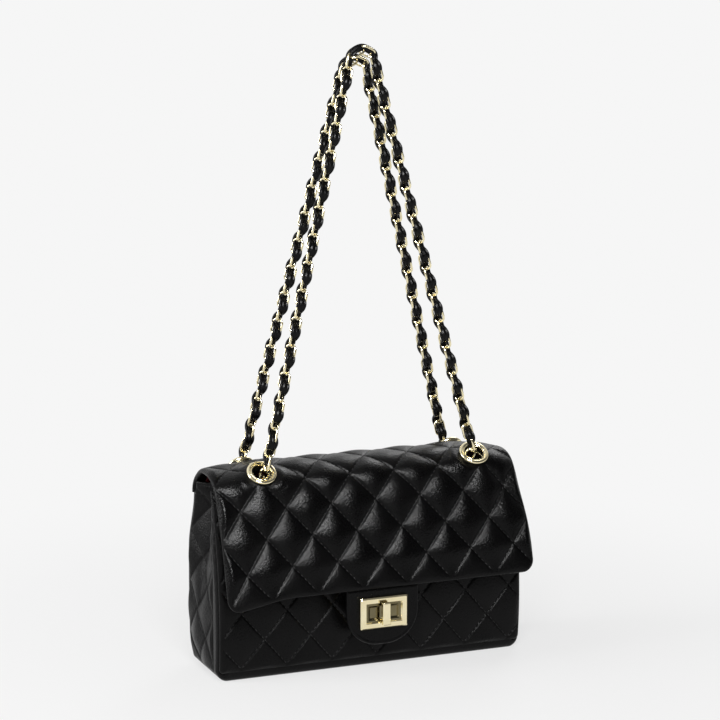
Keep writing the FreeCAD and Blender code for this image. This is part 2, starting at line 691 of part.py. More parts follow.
def lock():
    """Frame, floor plate and back plate on the tab; bar, spindle and foot that turn; keeper on the body."""
    border = size("frame_border")
    window = (size("frame_width") - border * 2, size("frame_height") - border * 2)
    depth = size("frame_depth")
    frame, pad = plate("lock_frame", tab_front, size("frame_width"), size("frame_height"), depth, (window,))
    def at_front(edge):
        return near(edge.BoundBox.YMin, -depth) and near(edge.BoundBox.YMax, -depth)

    def in_window(edge):
        middle = edge.CenterOfMass
        reach = [(opening + border).value / 2 for opening in window]
        return abs(middle.x) < reach[0] and abs(middle.z) < reach[1]

    slope = dress(frame, "Chamfer", size("frame_bevel"), pad, lambda e: at_front(e) and in_window(e))
    dress(frame, "Fillet", size("frame_edge"), slope, lambda e: at_front(e) and not in_window(e)
          and e.Length > window[1].value + border.value)

    thin = size("plate_thick")
    fit = size("plate_fit") * 2
    tab_back = tab_front + size("tab_thick")
    inset = size("back_plate_inset") * 2
    back_size = (size("frame_width") - inset, size("frame_height") - inset)
    for label, face, width, height in (
        ("lock_plate", tab_front, window[0] - fit, window[1] - fit),
        ("lock_back_plate", tab_back + thin + layer, *back_size),
    ):
        body, pad = plate(label, face, width, height, thin)
        hole = new_sketch(body, "XZ_Plane", label + "_hole")
        polygon(hole, ZERO, ZERO, spindle_hole, "hole_sides")
        feature(body, "Pocket", hole, size("bag_width"), both_sides=True, name="SpindleHole")

    bar_back = tab_front - thin - size("bar_stand")
    bar, pad = plate("turn_bar", bar_back, size("bar_width"), size("bar_length"), size("bar_thick"))
    dress(bar, "Fillet", size("bar_edge"), pad, lambda e: near(e.BoundBox.YMax, -size("bar_thick")))

    keeper_face = tab_back + thin + layer + size("keeper_stand")
    foot_front = keeper_face + size("keeper_wall") + size("foot_play")
    foot_thick = size("foot_thick")
    plate("lock_foot", foot_front + foot_thick, size("foot_width"), size("foot_length"), foot_thick)

    spindle = keep(doc.addObject("Part::Cylinder", "lock_spindle"), "lock_spindle")
    spindle.setExpression("Radius", (size("spindle_wide") / 2).text)
    spindle.setExpression("Height", (foot_front - bar_back).text)
    spindle.Placement = FreeCAD.Placement(V(0, 0, 0), FreeCAD.Rotation(X_AXIS, -90))
    place(spindle, back=bar_back, up=lock_level)

    seat = -size("front_belly") - layer
    stand = seat - keeper_face
    shell, pad = plate("lock_keeper", seat, size("keeper_width"), size("keeper_height"), stand)
    dress(shell, "Fillet", size("keeper_edge"), pad, lambda e: along(e, V(0, 1, 0)))
    hollow = new_sketch(shell, "XZ_Plane", "keeper_hollow")
    side = size("keeper_width") / 2 - size("keeper_wall")
    top = size("keeper_height") / 2 - size("keeper_wall")
    rectangle(hollow, -side, side, -top, top)
    pocket = feature(shell, "Pocket", hollow, stand - size("keeper_wall"), name="Hollow")
    pocket.Reversed = True
    slot = new_sketch(shell, "XZ_Plane", "keeper_slot")
    play = size("keeper_slot_play")
    half_slot = size("foot_width") / 2 + play
    half_foot = size("foot_length") / 2 + play
    rectangle(slot, -half_slot, half_slot, -half_foot, half_foot + size("keeper_slot_rise"))
    feature(shell, "Pocket", slot, stand * 3, both_sides=True, name="Slot")


lock()

wire = size("link_wire").value
slack = size("link_gap").value
pitch = size("link_pitch").value
linked = wire + slack
link_length = pitch + linked
end_radius = (size("link_width").value - wire) / 2
end_centre = link_length / 2 - end_radius


def link_outside(level):
    """Eight corners that touch the oval of a link's outside."""
    radius = end_radius + wire / 2
    facet = math.radians(END_FACET_ANGLE)
    tip = (end_centre + radius, radius * math.tan(facet / 2))
    shoulder = (end_centre + radius * (1 - math.sin(facet)) / math.cos(facet), radius)
    half = [tip, shoulder, (-shoulder[0], shoulder[1]), (-tip[0], tip[1])]
    return [V(x, y, level) for x, y in half + [(-x, -y) for x, y in half]]


def link_opening(level):
    """Six corners that touch the oval of a link's opening."""
    radius = end_radius - wire / 2
    facet = math.radians(END_FACET_ANGLE / 2)
    shoulder = radius * (1 - math.sin(facet)) / math.cos(facet)
    half = [(end_centre + shoulder, radius), (-end_centre - shoulder, radius)]
    tip = end_centre + radius / math.cos(facet)
    ring = [(tip, 0)] + half + [(-tip, 0)] + [(-x, -y) for x, y in half]
    return [V(x, y, level) for x, y in ring]


def make_link():
    """One link of square wire bent to an oval, lying in its own XY plane along X."""
    rings = [corners(-wire / 2) for corners in (link_outside, link_opening)]
    outside, opening = [Part.Face(Part.makePolygon(ring + ring[:1])) for ring in rings]
    return outside.cut(opening).Faces[0].extrude(V(0, 0, wire))


LINK = make_link()


def link_at(middle, run, across, twist):
    """A copy of the link with its long axis along run, twisted about it from the across direction."""
    run = V(run).normalize()
    normal = run.cross(across).normalize()
    level = normal.cross(run)
    turn = math.radians(twist)
    width = level * math.cos(turn) + normal * math.sin(turn)
    copy = LINK.copy()
    copy.Placement = FreeCAD.Placement(middle, FreeCAD.Rotation(run, width, run.cross(width), "XYZ"))
    return copy


def strap_feature(label, solids):
    thing = doc.addObject("Part::Feature", label)
    thing.Shape = solids[0] if len(solids) == 1 else Part.makeCompound(solids)
    return keep(thing, label)


def both_sides(name, solids, pivot, up):
    """The left strand, and the right one as the same strand turned half round the loop's upright."""
    left = strap_feature(name + "_left", solids)
    half_turn = FreeCAD.Placement(V(0, 0, 0), FreeCAD.Rotation(up, 180), V(0, pivot.y, pivot.z))
    right = doc.addObject("Part::Feature", name + "_right")
    right.Shape = left.Shape.copy()
    right.Placement = half_turn.multiply(left.Placement)
    keep(right, name + "_right")


def eyelet_axis(turn, sign):
    """Pivot of the strap at a left eyelet, drawn to the bore's inner side, and the way out of it."""
    out = V(0, -sign * sine(turn).value, cosine(turn).value)
    drawn = (size("eyelet_bore").value - size("link_width").value) / 2 - slack
    seat = eyelet_seat(turn)
    middle = V(drawn - eyelet_place.value, seat[0].value, seat[1].value)
    return middle + out * size("pivot_rise").value, out


front_pivot, front_out = eyelet_axis(FRONT_TURN, 1)
rear_pivot, rear_out = eyelet_axis(REAR_TURN, -1)


def chords_on_arc(start, finish, count, chord):
    """Ends of equal chords that hang between two points on one arc, in the YZ plane."""
    gap = finish - start
    low, high = math.radians(1), math.pi / count
    for _ in range(60):
        bend = (low + high) / 2
        if math.sin(count * bend / 2) / math.sin(bend / 2) > gap.Length / chord:
            low = bend
        else:
            high = bend
    heading = math.atan2(gap.z, gap.y) - bend * (count - 1) / 2
    ends = [start]
    for step in range(count):
        angle = heading + bend * step
        ends.append(ends[-1] + V(0, math.cos(angle), math.sin(angle)) * chord)
    return ends


def inner_run():
    """Links that stay with the flap: one through each eyelet and a slack run between them."""
    slackness = size("inner_slack").value
    reach = link_length - (linked + slackness) / 2
    start = front_pivot - front_out * reach
    finish = rear_pivot - rear_out * reach
    ends = chords_on_arc(start, finish, int(size("inner_links").value), pitch - slackness)
    links = [link_at(front_pivot - front_out * (link_length / 2), front_out, X_AXIS, 0)]
    for index, (first, last) in enumerate(zip(ends, ends[1:])):
        links.append(link_at((first + last) * 0.5, last - first, X_AXIS, 0 if index % 2 else 90))
    links.append(link_at(rear_pivot - rear_out * (link_length / 2), rear_out, X_AXIS, 0))
    left = strap_feature("inner_chain_left", links)
    mirrored(left, "inner_chain_right")


inner_run()


def strap_loop(name, pivot, top_back):
    """One loop of the strap: two straight strands from the eyelets to a bend at the top."""
    count = int(size("strand_links").value)
    turned_wire = wire * math.sqrt(2) + slack
    first_centre = link_length / 2 - turned_wire
    strand = first_centre + pitch * (count - 0.5)
    span = -pivot.x
    spread = math.asin(span / (strand + pitch))
    for _ in range(40):
        bend = (math.pi / 2 - spread) / 1.5
        bent_reach = (linked + size("bend_slack").value) / 2 / math.cos(bend / 2)
        shift = bent_reach - linked / 2
        top_chord = link_length - bent_reach * 2
        spread = math.asin((span - top_chord * math.cos(bend / 2)) / (strand - shift))
    tilt = math.asin((top_back - pivot.y) / (strand * math.cos(spread)))
    up = V(0, math.sin(tilt), math.cos(tilt))
    run = X_AXIS * math.sin(spread) + up * math.cos(spread)
    across = X_AXIS * math.cos(spread) - up * math.sin(spread)
    facing = run.cross(across)

    links = []
    for index in range(count):
        twist = STRAND_TWIST_ANGLE * (1 if index % 2 else -1)
        if index < len(PIVOT_TWIST_ANGLES):
            twist = PIVOT_TWIST_ANGLES[index]
        links.append(link_at(pivot + run * (first_centre + pitch * index), run, across, twist))
    corner = pivot + run * (strand - shift)
    top_run = X_AXIS * math.cos(bend / 2) + up * math.sin(bend / 2)
    top_across = X_AXIS * math.sin(bend / 2) - up * math.cos(bend / 2)
    links.append(link_at(corner + top_run * (top_chord / 2), top_run, top_across, -STRAND_TWIST_ANGLE))
    both_sides(name + "_chain", links, pivot, up)

    lace_frame = FreeCAD.Rotation(run, facing, run.cross(facing), "XYZ")
    start = first_centre + pitch * size("lace_free_links").value
    junctions = count - int(size("lace_free_links").value) - 1
    sway = size("lace_sway").value
    flat = size("lace_flat").value / 2
    half = size("lace_thick").value / 2
    middle = [(start, 0)]
    for index in range(junctions):
        level = sway if index % 2 else -sway
        place_along = start + pitch * (index + 0.5)
        middle += [(place_along - flat, level), (place_along + flat, level)]
    finish = start + pitch * junctions
    middle.append((finish, 0))
    lace = strip(middle, half)
    lace.Placement = FreeCAD.Placement(pivot, lace_frame)
    both_sides(name + "_lace", [lace], pivot, up)

    peak = corner + top_run * top_chord
    flat_frame = FreeCAD.Rotation(X_AXIS, up, X_AXIS.cross(up), "XYZ")
    inverse = flat_frame.inverted()
    high = size("lace_top_sway").value
    over = [
        pivot + (run - across) * size("lace_thick").value + run * finish,
        corner - across * high - run * flat,
        corner - (across + top_across) * (high / (1 + across.dot(top_across))),
        peak + up * (high / math.cos(bend / 2)),
    ]
    local = [inverse.multVec(point - peak) for point in over]
    points = [(p.x, p.y) for p in local]
    points += [(-x, y) for x, y in reversed(points[:-1])]
    arch = strip(points, half)
    arch.Placement = FreeCAD.Placement(peak, flat_frame)
    strap_feature(name + "_lace_top", [arch])


def strip(points, half):
    """A flat lace whose middle follows points in its own XY plane, with mitred bends."""
    sides = ([], [])
    for index, (x, y) in enumerate(points):
        before = points[max(index - 1, 0)]
        after = points[min(index + 1, len(points) - 1)]
        incoming = V(x - before[0], y - before[1], 0) if index else V(after[0] - x, after[1] - y, 0)
        outgoing = V(after[0] - x, after[1] - y, 0) if index < len(points) - 1 else incoming
        first = V(-incoming.y, incoming.x, 0).normalize()
        second = V(-outgoing.y, outgoing.x, 0).normalize()
        mitre = (first + second) * (half / (1 + first.dot(second)))
        sides[0].append(V(x, y, 0) + mitre)
        sides[1].append(V(x, y, 0) - mitre)
    ring = sides[0] + sides[1][::-1]
    width = size("lace_width").value
    face = Part.Face(Part.makePolygon(ring + ring[:1]))
    face.translate(V(0, 0, -width / 2))
    return face.extrude(V(0, 0, width))


strap_loop("front", front_pivot, -size("top_gap").value / 2)
strap_loop("rear", rear_pivot, size("top_gap").value / 2)

doc.recompute()
for thing in doc.Objects:
    if "Invalid" in thing.State or "Error" in thing.State:
        raise RuntimeError("feature failed: " + thing.Label)
os.makedirs("parts", exist_ok=True)
for thing in subparts:
    if thing.Shape.isNull() or not thing.Shape.isValid() or not thing.Shape.Solids:
        raise RuntimeError("not a sound solid: " + thing.Label)
    thing.Shape.exportStep("parts/%s.step" % thing.Label)

hinge = (rear_edge.value, mouth.value + size("hinge_gap").value / 2)
print("flap hinge at Y %.3f, Z %.3f" % hinge)
print("front strap pivot at Y %.3f, Z %.3f" % (front_pivot.y, front_pivot.z))
print("rear strap pivot at Y %.3f, Z %.3f" % (rear_pivot.y, rear_pivot.z))
print("turn bar axis at Z %.3f, bar back at Y %.3f" % (lock_level.value, tab_front.value))
print("%d sub-parts" % len(subparts))
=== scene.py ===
import math
from types import SimpleNamespace

import bpy
import numpy as np
from numpy import (arange, array, clip, cos, cross, exp, hypot, linspace, maximum, meshgrid,
    minimum, pi, sin, sqrt)
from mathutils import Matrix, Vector


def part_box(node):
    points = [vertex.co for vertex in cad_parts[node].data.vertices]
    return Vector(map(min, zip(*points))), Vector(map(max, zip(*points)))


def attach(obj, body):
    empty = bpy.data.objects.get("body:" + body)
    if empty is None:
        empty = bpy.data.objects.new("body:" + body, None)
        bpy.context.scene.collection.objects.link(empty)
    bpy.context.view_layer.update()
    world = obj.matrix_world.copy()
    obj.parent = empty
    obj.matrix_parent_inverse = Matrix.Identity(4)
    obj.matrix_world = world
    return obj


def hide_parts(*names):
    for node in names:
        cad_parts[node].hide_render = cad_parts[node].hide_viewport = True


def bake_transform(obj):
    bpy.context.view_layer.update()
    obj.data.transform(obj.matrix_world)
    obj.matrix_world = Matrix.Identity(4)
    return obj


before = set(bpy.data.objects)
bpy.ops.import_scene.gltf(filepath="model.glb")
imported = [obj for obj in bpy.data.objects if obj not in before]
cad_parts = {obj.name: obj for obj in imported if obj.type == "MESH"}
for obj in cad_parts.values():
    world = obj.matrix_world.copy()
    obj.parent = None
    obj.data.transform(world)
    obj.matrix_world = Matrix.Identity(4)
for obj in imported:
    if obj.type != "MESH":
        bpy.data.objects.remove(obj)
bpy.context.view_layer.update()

MM = 0.001

# the bag's measures in millimetres, in the frame of the construction
FLAP_HALF = 126.0
MOUTH = 136.0                 # top of the back panel
SIDE_TOP = 146.5              # top of the front panel and the gussets
DIAMOND_WIDE, DIAMOND_HIGH = 36.5, 44.4
STEPS = 20                    # grid steps along half a diamond
STITCHES = 7                  # stitches between two crossings
CLOTH = 0.8                   # thickness of a lining
EYELET_ACROSS = 87.5          # an eyelet's middle from the bag's middle
FRONT_SEAT, REAR_SEAT = (-22.78, 158.87), (24.69, 152.22)
FRONT_LEAN, REAR_LEAN = math.radians(34), math.radians(57)


def ease(t):
    """Three t squared less two t cubed, between nought and one."""
    t = clip(t, 0.0, 1.0)
    return t * t * (3.0 - 2.0 * t)


join = np.concatenate


def xyz(*numbers):
    """Grids of numbers put together as the last axis of one."""
    return np.stack(numbers, -1)


def circle(count):
    """Cosines and sines of equal steps round a circle."""
    t = linspace(0, 2 * pi, count, endpoint=False)
    return cos(t), sin(t)


def quarter(t):
    """Height of a quarter circle at a share t of its width."""
    return sqrt(clip(1 - (1 - clip(t, 0, 1)) ** 2, 0, 1))


def unit(v):
    """Vectors divided by their lengths."""
    v = np.asarray(v, float)
    return v / np.linalg.norm(v, axis=-1, keepdims=True)


# meshes

def quads(rows, cols, close_rows=False, close_cols=False):
    """Corner numbers of the cells of a grid, counted row by row."""
    i, j = meshgrid(arange(rows if close_rows else rows - 1),
        arange(cols if close_cols else cols - 1), indexing="ij")
    k, l = (i + 1) % rows, (j + 1) % cols
    return xyz(i * cols + j, i * cols + l, k * cols + l, k * cols + j).reshape(-1, 4)


def volume(points, faces):
    """Six times the volume inside closed faces: their triangles' triple products, added up."""
    p = points - points.mean(0)
    total = 0.0
    for f in faces:
        for k in range(1, f.shape[1] - 1):
            total += (p[f[:, 0]] * cross(p[f[:, k]], p[f[:, k + 1]])).sum()
    return total


def add_object(name, data):
    """A new object in the scene, at the origin."""
    thing = bpy.data.objects.new(name, data)
    bpy.context.scene.collection.objects.link(thing)
    return thing


def make_piece(name, parts, body, material, replaced=(), smooth=True, rise=None):
    """One piece at the origin from closed parts, each turned outward; points are in millimetres.

    A part is its points and a list of arrays of faces; rise is an attribute of the points."""
    points, corners, sizes, start = [], [], [], 0
    for p, faces in parts:
        p = np.asarray(p, float).reshape(-1, 3)
        inside_out = volume(p, faces) < 0
        for f in faces:
            corners.append(((f[:, ::-1] if inside_out else f) + start).ravel())
            sizes.append(np.full(len(f), f.shape[1]))
        points.append(p)
        start += len(p)
    points, corners, sizes = (join(k) for k in (points, corners, sizes))
    mesh = bpy.data.meshes.new(name)
    mesh.vertices.add(len(points))
    mesh.vertices.foreach_set("co", (points * MM).ravel())
    mesh.loops.add(len(corners))
    mesh.loops.foreach_set("vertex_index", corners)
    mesh.polygons.add(len(sizes))
    mesh.polygons.foreach_set("loop_start", np.cumsum(sizes) - sizes)
    mesh.update(calc_edges=True)
    mesh.validate()
    mesh.polygons.foreach_set("use_smooth", np.full(len(mesh.polygons), smooth))
    if rise is not None:
        mesh.attributes.new("rise", "FLOAT", "POINT").data.foreach_set(
            "value", np.asarray(rise, np.float32).ravel())
    mesh.materials.append(material)
    piece = add_object(name, mesh)
    if body:
        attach(piece, body)
    if replaced:
        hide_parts(*replaced)
    return piece


def two_sheets(outer, inner):
    """Two grids of points of one shape, joined along their edges, as one closed part."""
    rows, cols = outer.shape[:2]
    count = rows * cols
    number = arange(count).reshape(rows, cols)
    loop = join([number[0], number[1:, -1], number[-1, -2::-1], number[-2:0:-1, 0]])
    after = np.roll(loop, -1)
    cells = quads(rows, cols)
    side = xyz(after, loop, loop + count, after + count)
    return (join([outer.reshape(-1, 3), inner.reshape(-1, 3)]),
        [join([cells, cells[:, ::-1] + count, side])])


def carried(path, across, facing, section):
    """A closed section carried along an open path, with its ends closed.

    Point (i, j) is path i plus across i times the first number of section (i, j) plus
    facing i times its second."""
    rows, cols = section.shape[:2]
    grid = (path[:, None] + across[:, None] * section[..., :1] + facing[:, None] * section[..., 1:])
    ring = arange(cols)
    points = join([grid.reshape(-1, 3), path[:1], path[-1:]])
    first = xyz(np.full(cols, rows * cols), (ring + 1) % cols, ring)
    last = xyz(np.full(cols, rows * cols + 1), (rows - 1) * cols + ring,
        (rows - 1) * cols + (ring + 1) % cols)
    return points, [quads(rows, cols, close_cols=True), join([first, last])]


# materials

def math_node(operation, swapped=False):
    """A method that makes a Math node from a socket and another socket or number."""
    def method(self, other):
        a, b = (other, self) if swapped else (self, other)
        return self.finish.node("ShaderNodeMath", {"operation": operation}, {0: a, 1: b})
    return method


class Socket:
    """An output of a material's nodes; Python's operators make Math nodes from it."""

    def __init__(self, finish, out):
        self.finish, self.out = finish, out

    __add__, __sub__, __mul__ = math_node("ADD"), math_node("SUBTRACT"), math_node("MULTIPLY")
    __rsub__, most = math_node("SUBTRACT", True), math_node("MAXIMUM")


class Finish:
    """A material, or the world, and its nodes."""

    def __init__(self, owner):
        owner.use_nodes = True
        self.owner, self.tree = owner, owner.node_tree
        self.tree.nodes.clear()

    def node(self, kind, settings=None, links=None, output=0):
        """A new node with its settings and inputs, as the socket of one of its outputs."""
        made = self.tree.nodes.new(kind)
        for key, value in (settings or {}).items():
            setattr(made, key, value)
        for key, value in (links or {}).items():
            if isinstance(value, Socket):
                self.tree.links.new(value.out, made.inputs[key])
            else:
                made.inputs[key].default_value = value
        return Socket(self, made.outputs[output]) if len(made.outputs) else None

    def other(self, socket, output):
        """Another output of the node that a socket belongs to."""
        return Socket(self, socket.out.node.outputs[output])

    def ramp(self, value, low, high, start=0.0, end=1.0):
        return self.node("ShaderNodeMapRange", {"interpolation_type": "SMOOTHSTEP"},
            {"Value": value, "From Min": low, "From Max": high, "To Min": start, "To Max": end})

    def blend(self, factor, first, second):
        return self.node("ShaderNodeMix", {"data_type": "RGBA"},
            {0: factor, 6: first, 7: second}, 2)

    def place(self):
        return self.node("ShaderNodeTexCoord", output="Object")

    def noise(self, place, scale, detail=2.0, rough=0.5):
        return self.node("ShaderNodeTexNoise", None, {
            "Vector": place, "Scale": scale, "Detail": detail, "Roughness": rough})

    def bump(self, height, strength, distance):
        return self.node("ShaderNodeBump", None,
            {"Height": height, "Strength": strength, "Distance": distance})

    def surface(self, **values):
        shader = self.node("ShaderNodeBsdfPrincipled", None,
            {k.replace("_", " "): v for k, v in values.items()})
        self.node("ShaderNodeOutputMaterial", None, {"Surface": shader})
        return self.owner


def new_finish(name):
    """A new material's nodes, and the place on the object that its textures read."""
    f = Finish(bpy.data.materials.new(name))
    return f, f.place()


LEATHER_DARK, LEATHER_PALE = (0.0011, 0.00105, 0.00115, 1), (0.00209, 0.0019425, 0.00207, 1)


def leather(name, grain, rough, shine):
    """Black lambskin: fine pebbles and creases in the bump, glossier where the rise is high."""
    f, place = new_finish(name)
    rise = f.node("ShaderNodeAttribute", {"attribute_name": "rise"}, output="Fac")
    pebble = f.node("ShaderNodeTexVoronoi", {"feature": "F1"}, {"Vector": place, "Scale": 720.0})
    pores = f.noise(place, 3000.0, 2.0)
    crease = f.noise(place, 420.0, 4.0, 0.6)
    cloud = f.noise(place, 38.0, 3.0)
    height = pebble * 0.55 + pores * 0.3 + crease * 0.6
    return f.surface(Base_Color=f.blend(f.ramp(cloud, 0.3, 0.75), LEATHER_DARK, LEATHER_PALE),
        Roughness=(rough - rise * 0.06) + (cloud - 0.5) * 0.14 + (pebble - 0.4) * 0.08,
        Specular_IOR_Level=shine, Normal=f.bump(height, grain, 0.00028))


def gold(name, low, high):
    """Polished gold between two tones, with faint rubbing marks."""
    f, place = new_finish(name)
    rub = f.noise(place, 420.0, 4.0, 0.65)
    haze = f.noise(place, 70.0, 2.0)
    return f.surface(Base_Color=f.blend(haze, low, high), Metallic=1.0,
        Roughness=rub * 0.10 + haze * 0.06 + 0.06, Normal=f.bump(rub, 0.05, 0.0001))


def lining(name, low, high):
    """Woven cloth between two tones: two crossing threads in the bump."""
    f, place = new_finish(name)
    one, two = (f.node("ShaderNodeTexWave", {"bands_direction": d},
        {"Vector": place, "Scale": 380.0, "Distortion": 0.6}, "Fac") for d in "XZ")
    cloud = f.noise(place, 60.0)
    return f.surface(Base_Color=f.blend(cloud, low, high), Roughness=cloud * 0.15 + 0.62,
        Normal=f.bump(one * two, 0.4, 0.0002))


def plain(name, colour, rough, shine=0.5):
    """A speckled, slightly uneven surface of one colour."""
    f, place = new_finish(name)
    speck = f.noise(place, 900.0, 3.0)
    lighter = tuple(min(1.0, c * 1.35) for c in colour[:3]) + (1,)
    return f.surface(Base_Color=f.blend(speck, colour, lighter), Roughness=speck * 0.2 + rough,
        Specular_IOR_Level=shine, Normal=f.bump(speck, 0.2, 0.0002))


BLACK = leather("black_lambskin", grain=0.9, rough=0.32, shine=0.116)
LACE = leather("black_lace", grain=0.3, rough=0.33, shine=0.13)
GOLD = gold("pale_gold", (0.76, 0.65, 0.38, 1), (0.96, 0.89, 0.64, 1))
# gold darkened to paint the shade and dark reflections in the lock's pits, not a tone of the metal
# itself
PIT_SHADE_GOLD = gold("gold_painted_pit_shade", (0.10, 0.085, 0.045, 1), (0.22, 0.19, 0.11, 1))
RED = lining("red_lining", (0.115, 0.006, 0.010, 1), (0.17, 0.010, 0.014, 1))
THREAD = plain("black_thread", (0.007, 0.007, 0.007, 1), 0.34, 0.36)
BOARD = plain("grey_board", (0.22, 0.21, 0.20, 1), 0.7)

# the quilt

COLUMNS, ROWS = 9 * 2 * STEPS + 1, 6 * 2 * STEPS + 1
RELAX_TURNS, PUSH = 70, 0.012
# neighbours down and across in the sheet, and how stiffly each is held
NEIGHBOURS = ((0, 1, 0.9), (1, 0, 0.9), (1, 1, 0.5), (1, -1, 0.5), (0, 2, 0.12), (2, 0, 0.12))
SHARE_RELAXED, SHARE_CUSHION = 0.2, 0.85
PUCKER, PUCKER_REACH = 0.10, 3.0
FURROW = 0.75                 # half width of the furrow along a seam
FINE = array([0.0, 0.25, 0.7, 1.3, 2.0, 2.8, 3.7, 4.6])  # grid lines by an edge


def around(z):
    """The sum of a grid's four neighbours at each point."""
    return np.roll(z, 1, 0) + np.roll(z, -1, 0) + np.roll(z, 1, 1) + np.roll(z, -1, 1)


def quilt_field():
    """Heights of padded leather held down along crossing seams, up to about one.

    A sheet with a little spare leather between the seams is pressed up while every neighbour
    distance is pulled back to its own length; points on the seams stay. The result is mixed
    with cushions, alone the quick form: half the harmonic sum of two arches, half a product
    of sines."""
    i, j = meshgrid(arange(COLUMNS), arange(ROWS))
    a, b = (i + j) / (2.0 * STEPS), (i - j) / (2.0 * STEPS)
    pillow = np.abs(sin(pi * a) * sin(pi * b))
    arch_a, arch_b = (1.0001 - (1 - 2 * np.abs(k - np.round(k))) ** 2 for k in (a, b))
    cushion = 0.5 / (1 / arch_a + 1 / arch_b - 1) + 0.5 * pillow ** 0.72
    rng = np.random.default_rng(5)
    du, dv = DIAMOND_WIDE / 2 / STEPS, DIAMOND_HIGH / 2 / STEPS
    free = ((i + j) % (2 * STEPS) != 0) & ((i - j) % (2 * STEPS) != 0)
    own = rng.normal(size=(16, 32))
    lift = 1.0 + 0.10 * own[np.floor(b).astype(int) % 16, np.floor(a).astype(int) % 32]
    extra = (0.018 + 0.030 * (1 - sqrt(pillow)) ** 1.5) * lift
    rough = rng.normal(size=i.shape)
    for _ in range(3):
        rough = (rough + around(rough)) / 5
    start = 3.4 * lift * pillow ** 0.7 + rough * 0.5 * free
    p = xyz(i * du, j * dv, start).astype(np.float32)
    weight = free.astype(np.float32)[..., None]
    ties = []
    for dj, di, stiff in NEIGHBOURS:
        step = max(abs(di), dj)
        down, along = arange(ROWS - dj), arange(max(0, -di), COLUMNS - max(0, di))
        for part in range(2):
            if dj:
                first = np.ix_(down[down // step % 2 == part], along)
            else:
                first = np.ix_(down, along[along // step % 2 == part])
            second = (first[0] + dj, first[1] + di)
            rest = math.hypot(di * du, dj * dv) * (1 + (extra[first] + extra[second]) / 2)
            wa, wb = weight[first], weight[second]
            ties.append((first, second, rest.astype(np.float32)[..., None], stiff,
                wa, wb, maximum(wa + wb, 1.0)))
    push = array([0, 0, PUSH], np.float32)
    for _ in range(RELAX_TURNS):
        p += push * weight
        for first, second, rest, stiff, wa, wb, both in ties:
            pa, pb = p[first], p[second]
            d = pb - pa
            size = sqrt((d * d).sum(-1, keepdims=True))
            pull = d * (stiff * (1 - rest / size) / both)
            p[first] = pa + pull * wa
            p[second] = pb - pull * wb
    z = p[..., 2].astype(float)
    for _ in range(2):
        z = np.where(free, 0.5 * z + 0.5 * (around(z) / 4), z)
    z = clip(z / np.percentile(z, 92), 0, None)
    return SHARE_RELAXED * z + SHARE_CUSHION * lift * cushion


FIELD = quilt_field()


class Quilt:
    """The crossing seams of one panel.

    With p and q the distances from a crossing in diamond widths and heights, seams lie where
    p plus q or p less q is whole. The rise is the field times the height, with puckers by the
    stitches, less a narrow furrow along each seam."""

    def __init__(self, middle, wide, high, tall, sunk, turn=1):
        self.middle, self.wide, self.high = middle, wide, high
        self.tall, self.sunk, self.turn = tall, sunk, turn
        self.gap = 1 / math.hypot(1 / wide, 1 / high)

    def counts(self, u, v):
        """p plus q and p less q."""
        p, q = (u - self.middle[0]) / self.wide, (v - self.middle[1]) / self.high
        return p + q, p - q

    def rise(self, u, v):
        """Height of the leather: the field between its four nearest grid points, and the rest."""
        x = (self.turn * (u - self.middle[0]) / self.wide + 4) * 2 * STEPS
        y = ((v - self.middle[1]) / self.high + 3) * 2 * STEPS
        x, y = clip(x, 0, COLUMNS - 1.001), clip(y, 0, ROWS - 1.001)
        i, j = x.astype(int), y.astype(int)
        s, t = x - i, y - j
        height = ((FIELD[j, i] * (1 - s) + FIELD[j, i + 1] * s) * (1 - t)
            + (FIELD[j + 1, i] * (1 - s) + FIELD[j + 1, i + 1] * s) * t)
        a, b = self.counts(u, v)
        off_a, off_b = (np.abs(k - np.round(k)) * self.gap for k in (a, b))
        beat_a, beat_b = (cos(2 * pi * STITCHES * k) for k in (b, a))
        pucker = PUCKER * (exp(-(off_a / PUCKER_REACH) ** 2) * beat_a
            + exp(-(off_b / PUCKER_REACH) ** 2) * beat_b)
        furrow = maximum(exp(-(off_a / FURROW) ** 2), exp(-(off_b / FURROW) ** 2))
        return self.tall * height * (1 + pucker) - self.sunk * furrow

    def falls(self, u, v):
        """True where the nearest seam is one of those where p less q is whole."""
        a, b = self.counts(u, v)
        return np.abs(b - np.round(b)) < np.abs(a - np.round(a))

    def stitches(self):
        """Middles and directions of the stitches of every seam."""
        whole = arange(-12, 13).astype(float)
        part = (arange(-12 * STITCHES, 12 * STITCHES) + 0.5) / STITCHES
        k, m = (g.ravel() for g in meshgrid(whole, part))
        a, b = join([k, m]), join([m, k])
        u = self.middle[0] + self.wide * (a + b) / 2
        v = self.middle[1] + self.high * (a - b) / 2
        way = unit(array([[self.wide, -self.high], [self.wide, self.high]]))
        return u, v, np.repeat(way, len(k), axis=0)


def lattice_lines(low, high, middle, step):
    """Grid lines in step with the seams between two edges, with finer ones by the edges."""
    inside = middle + step * arange(math.ceil((low + 5 - middle) / step),
        math.floor((high - 5 - middle) / step) + 1)
    return join([low + FINE, inside, (high - FINE)[::-1]])


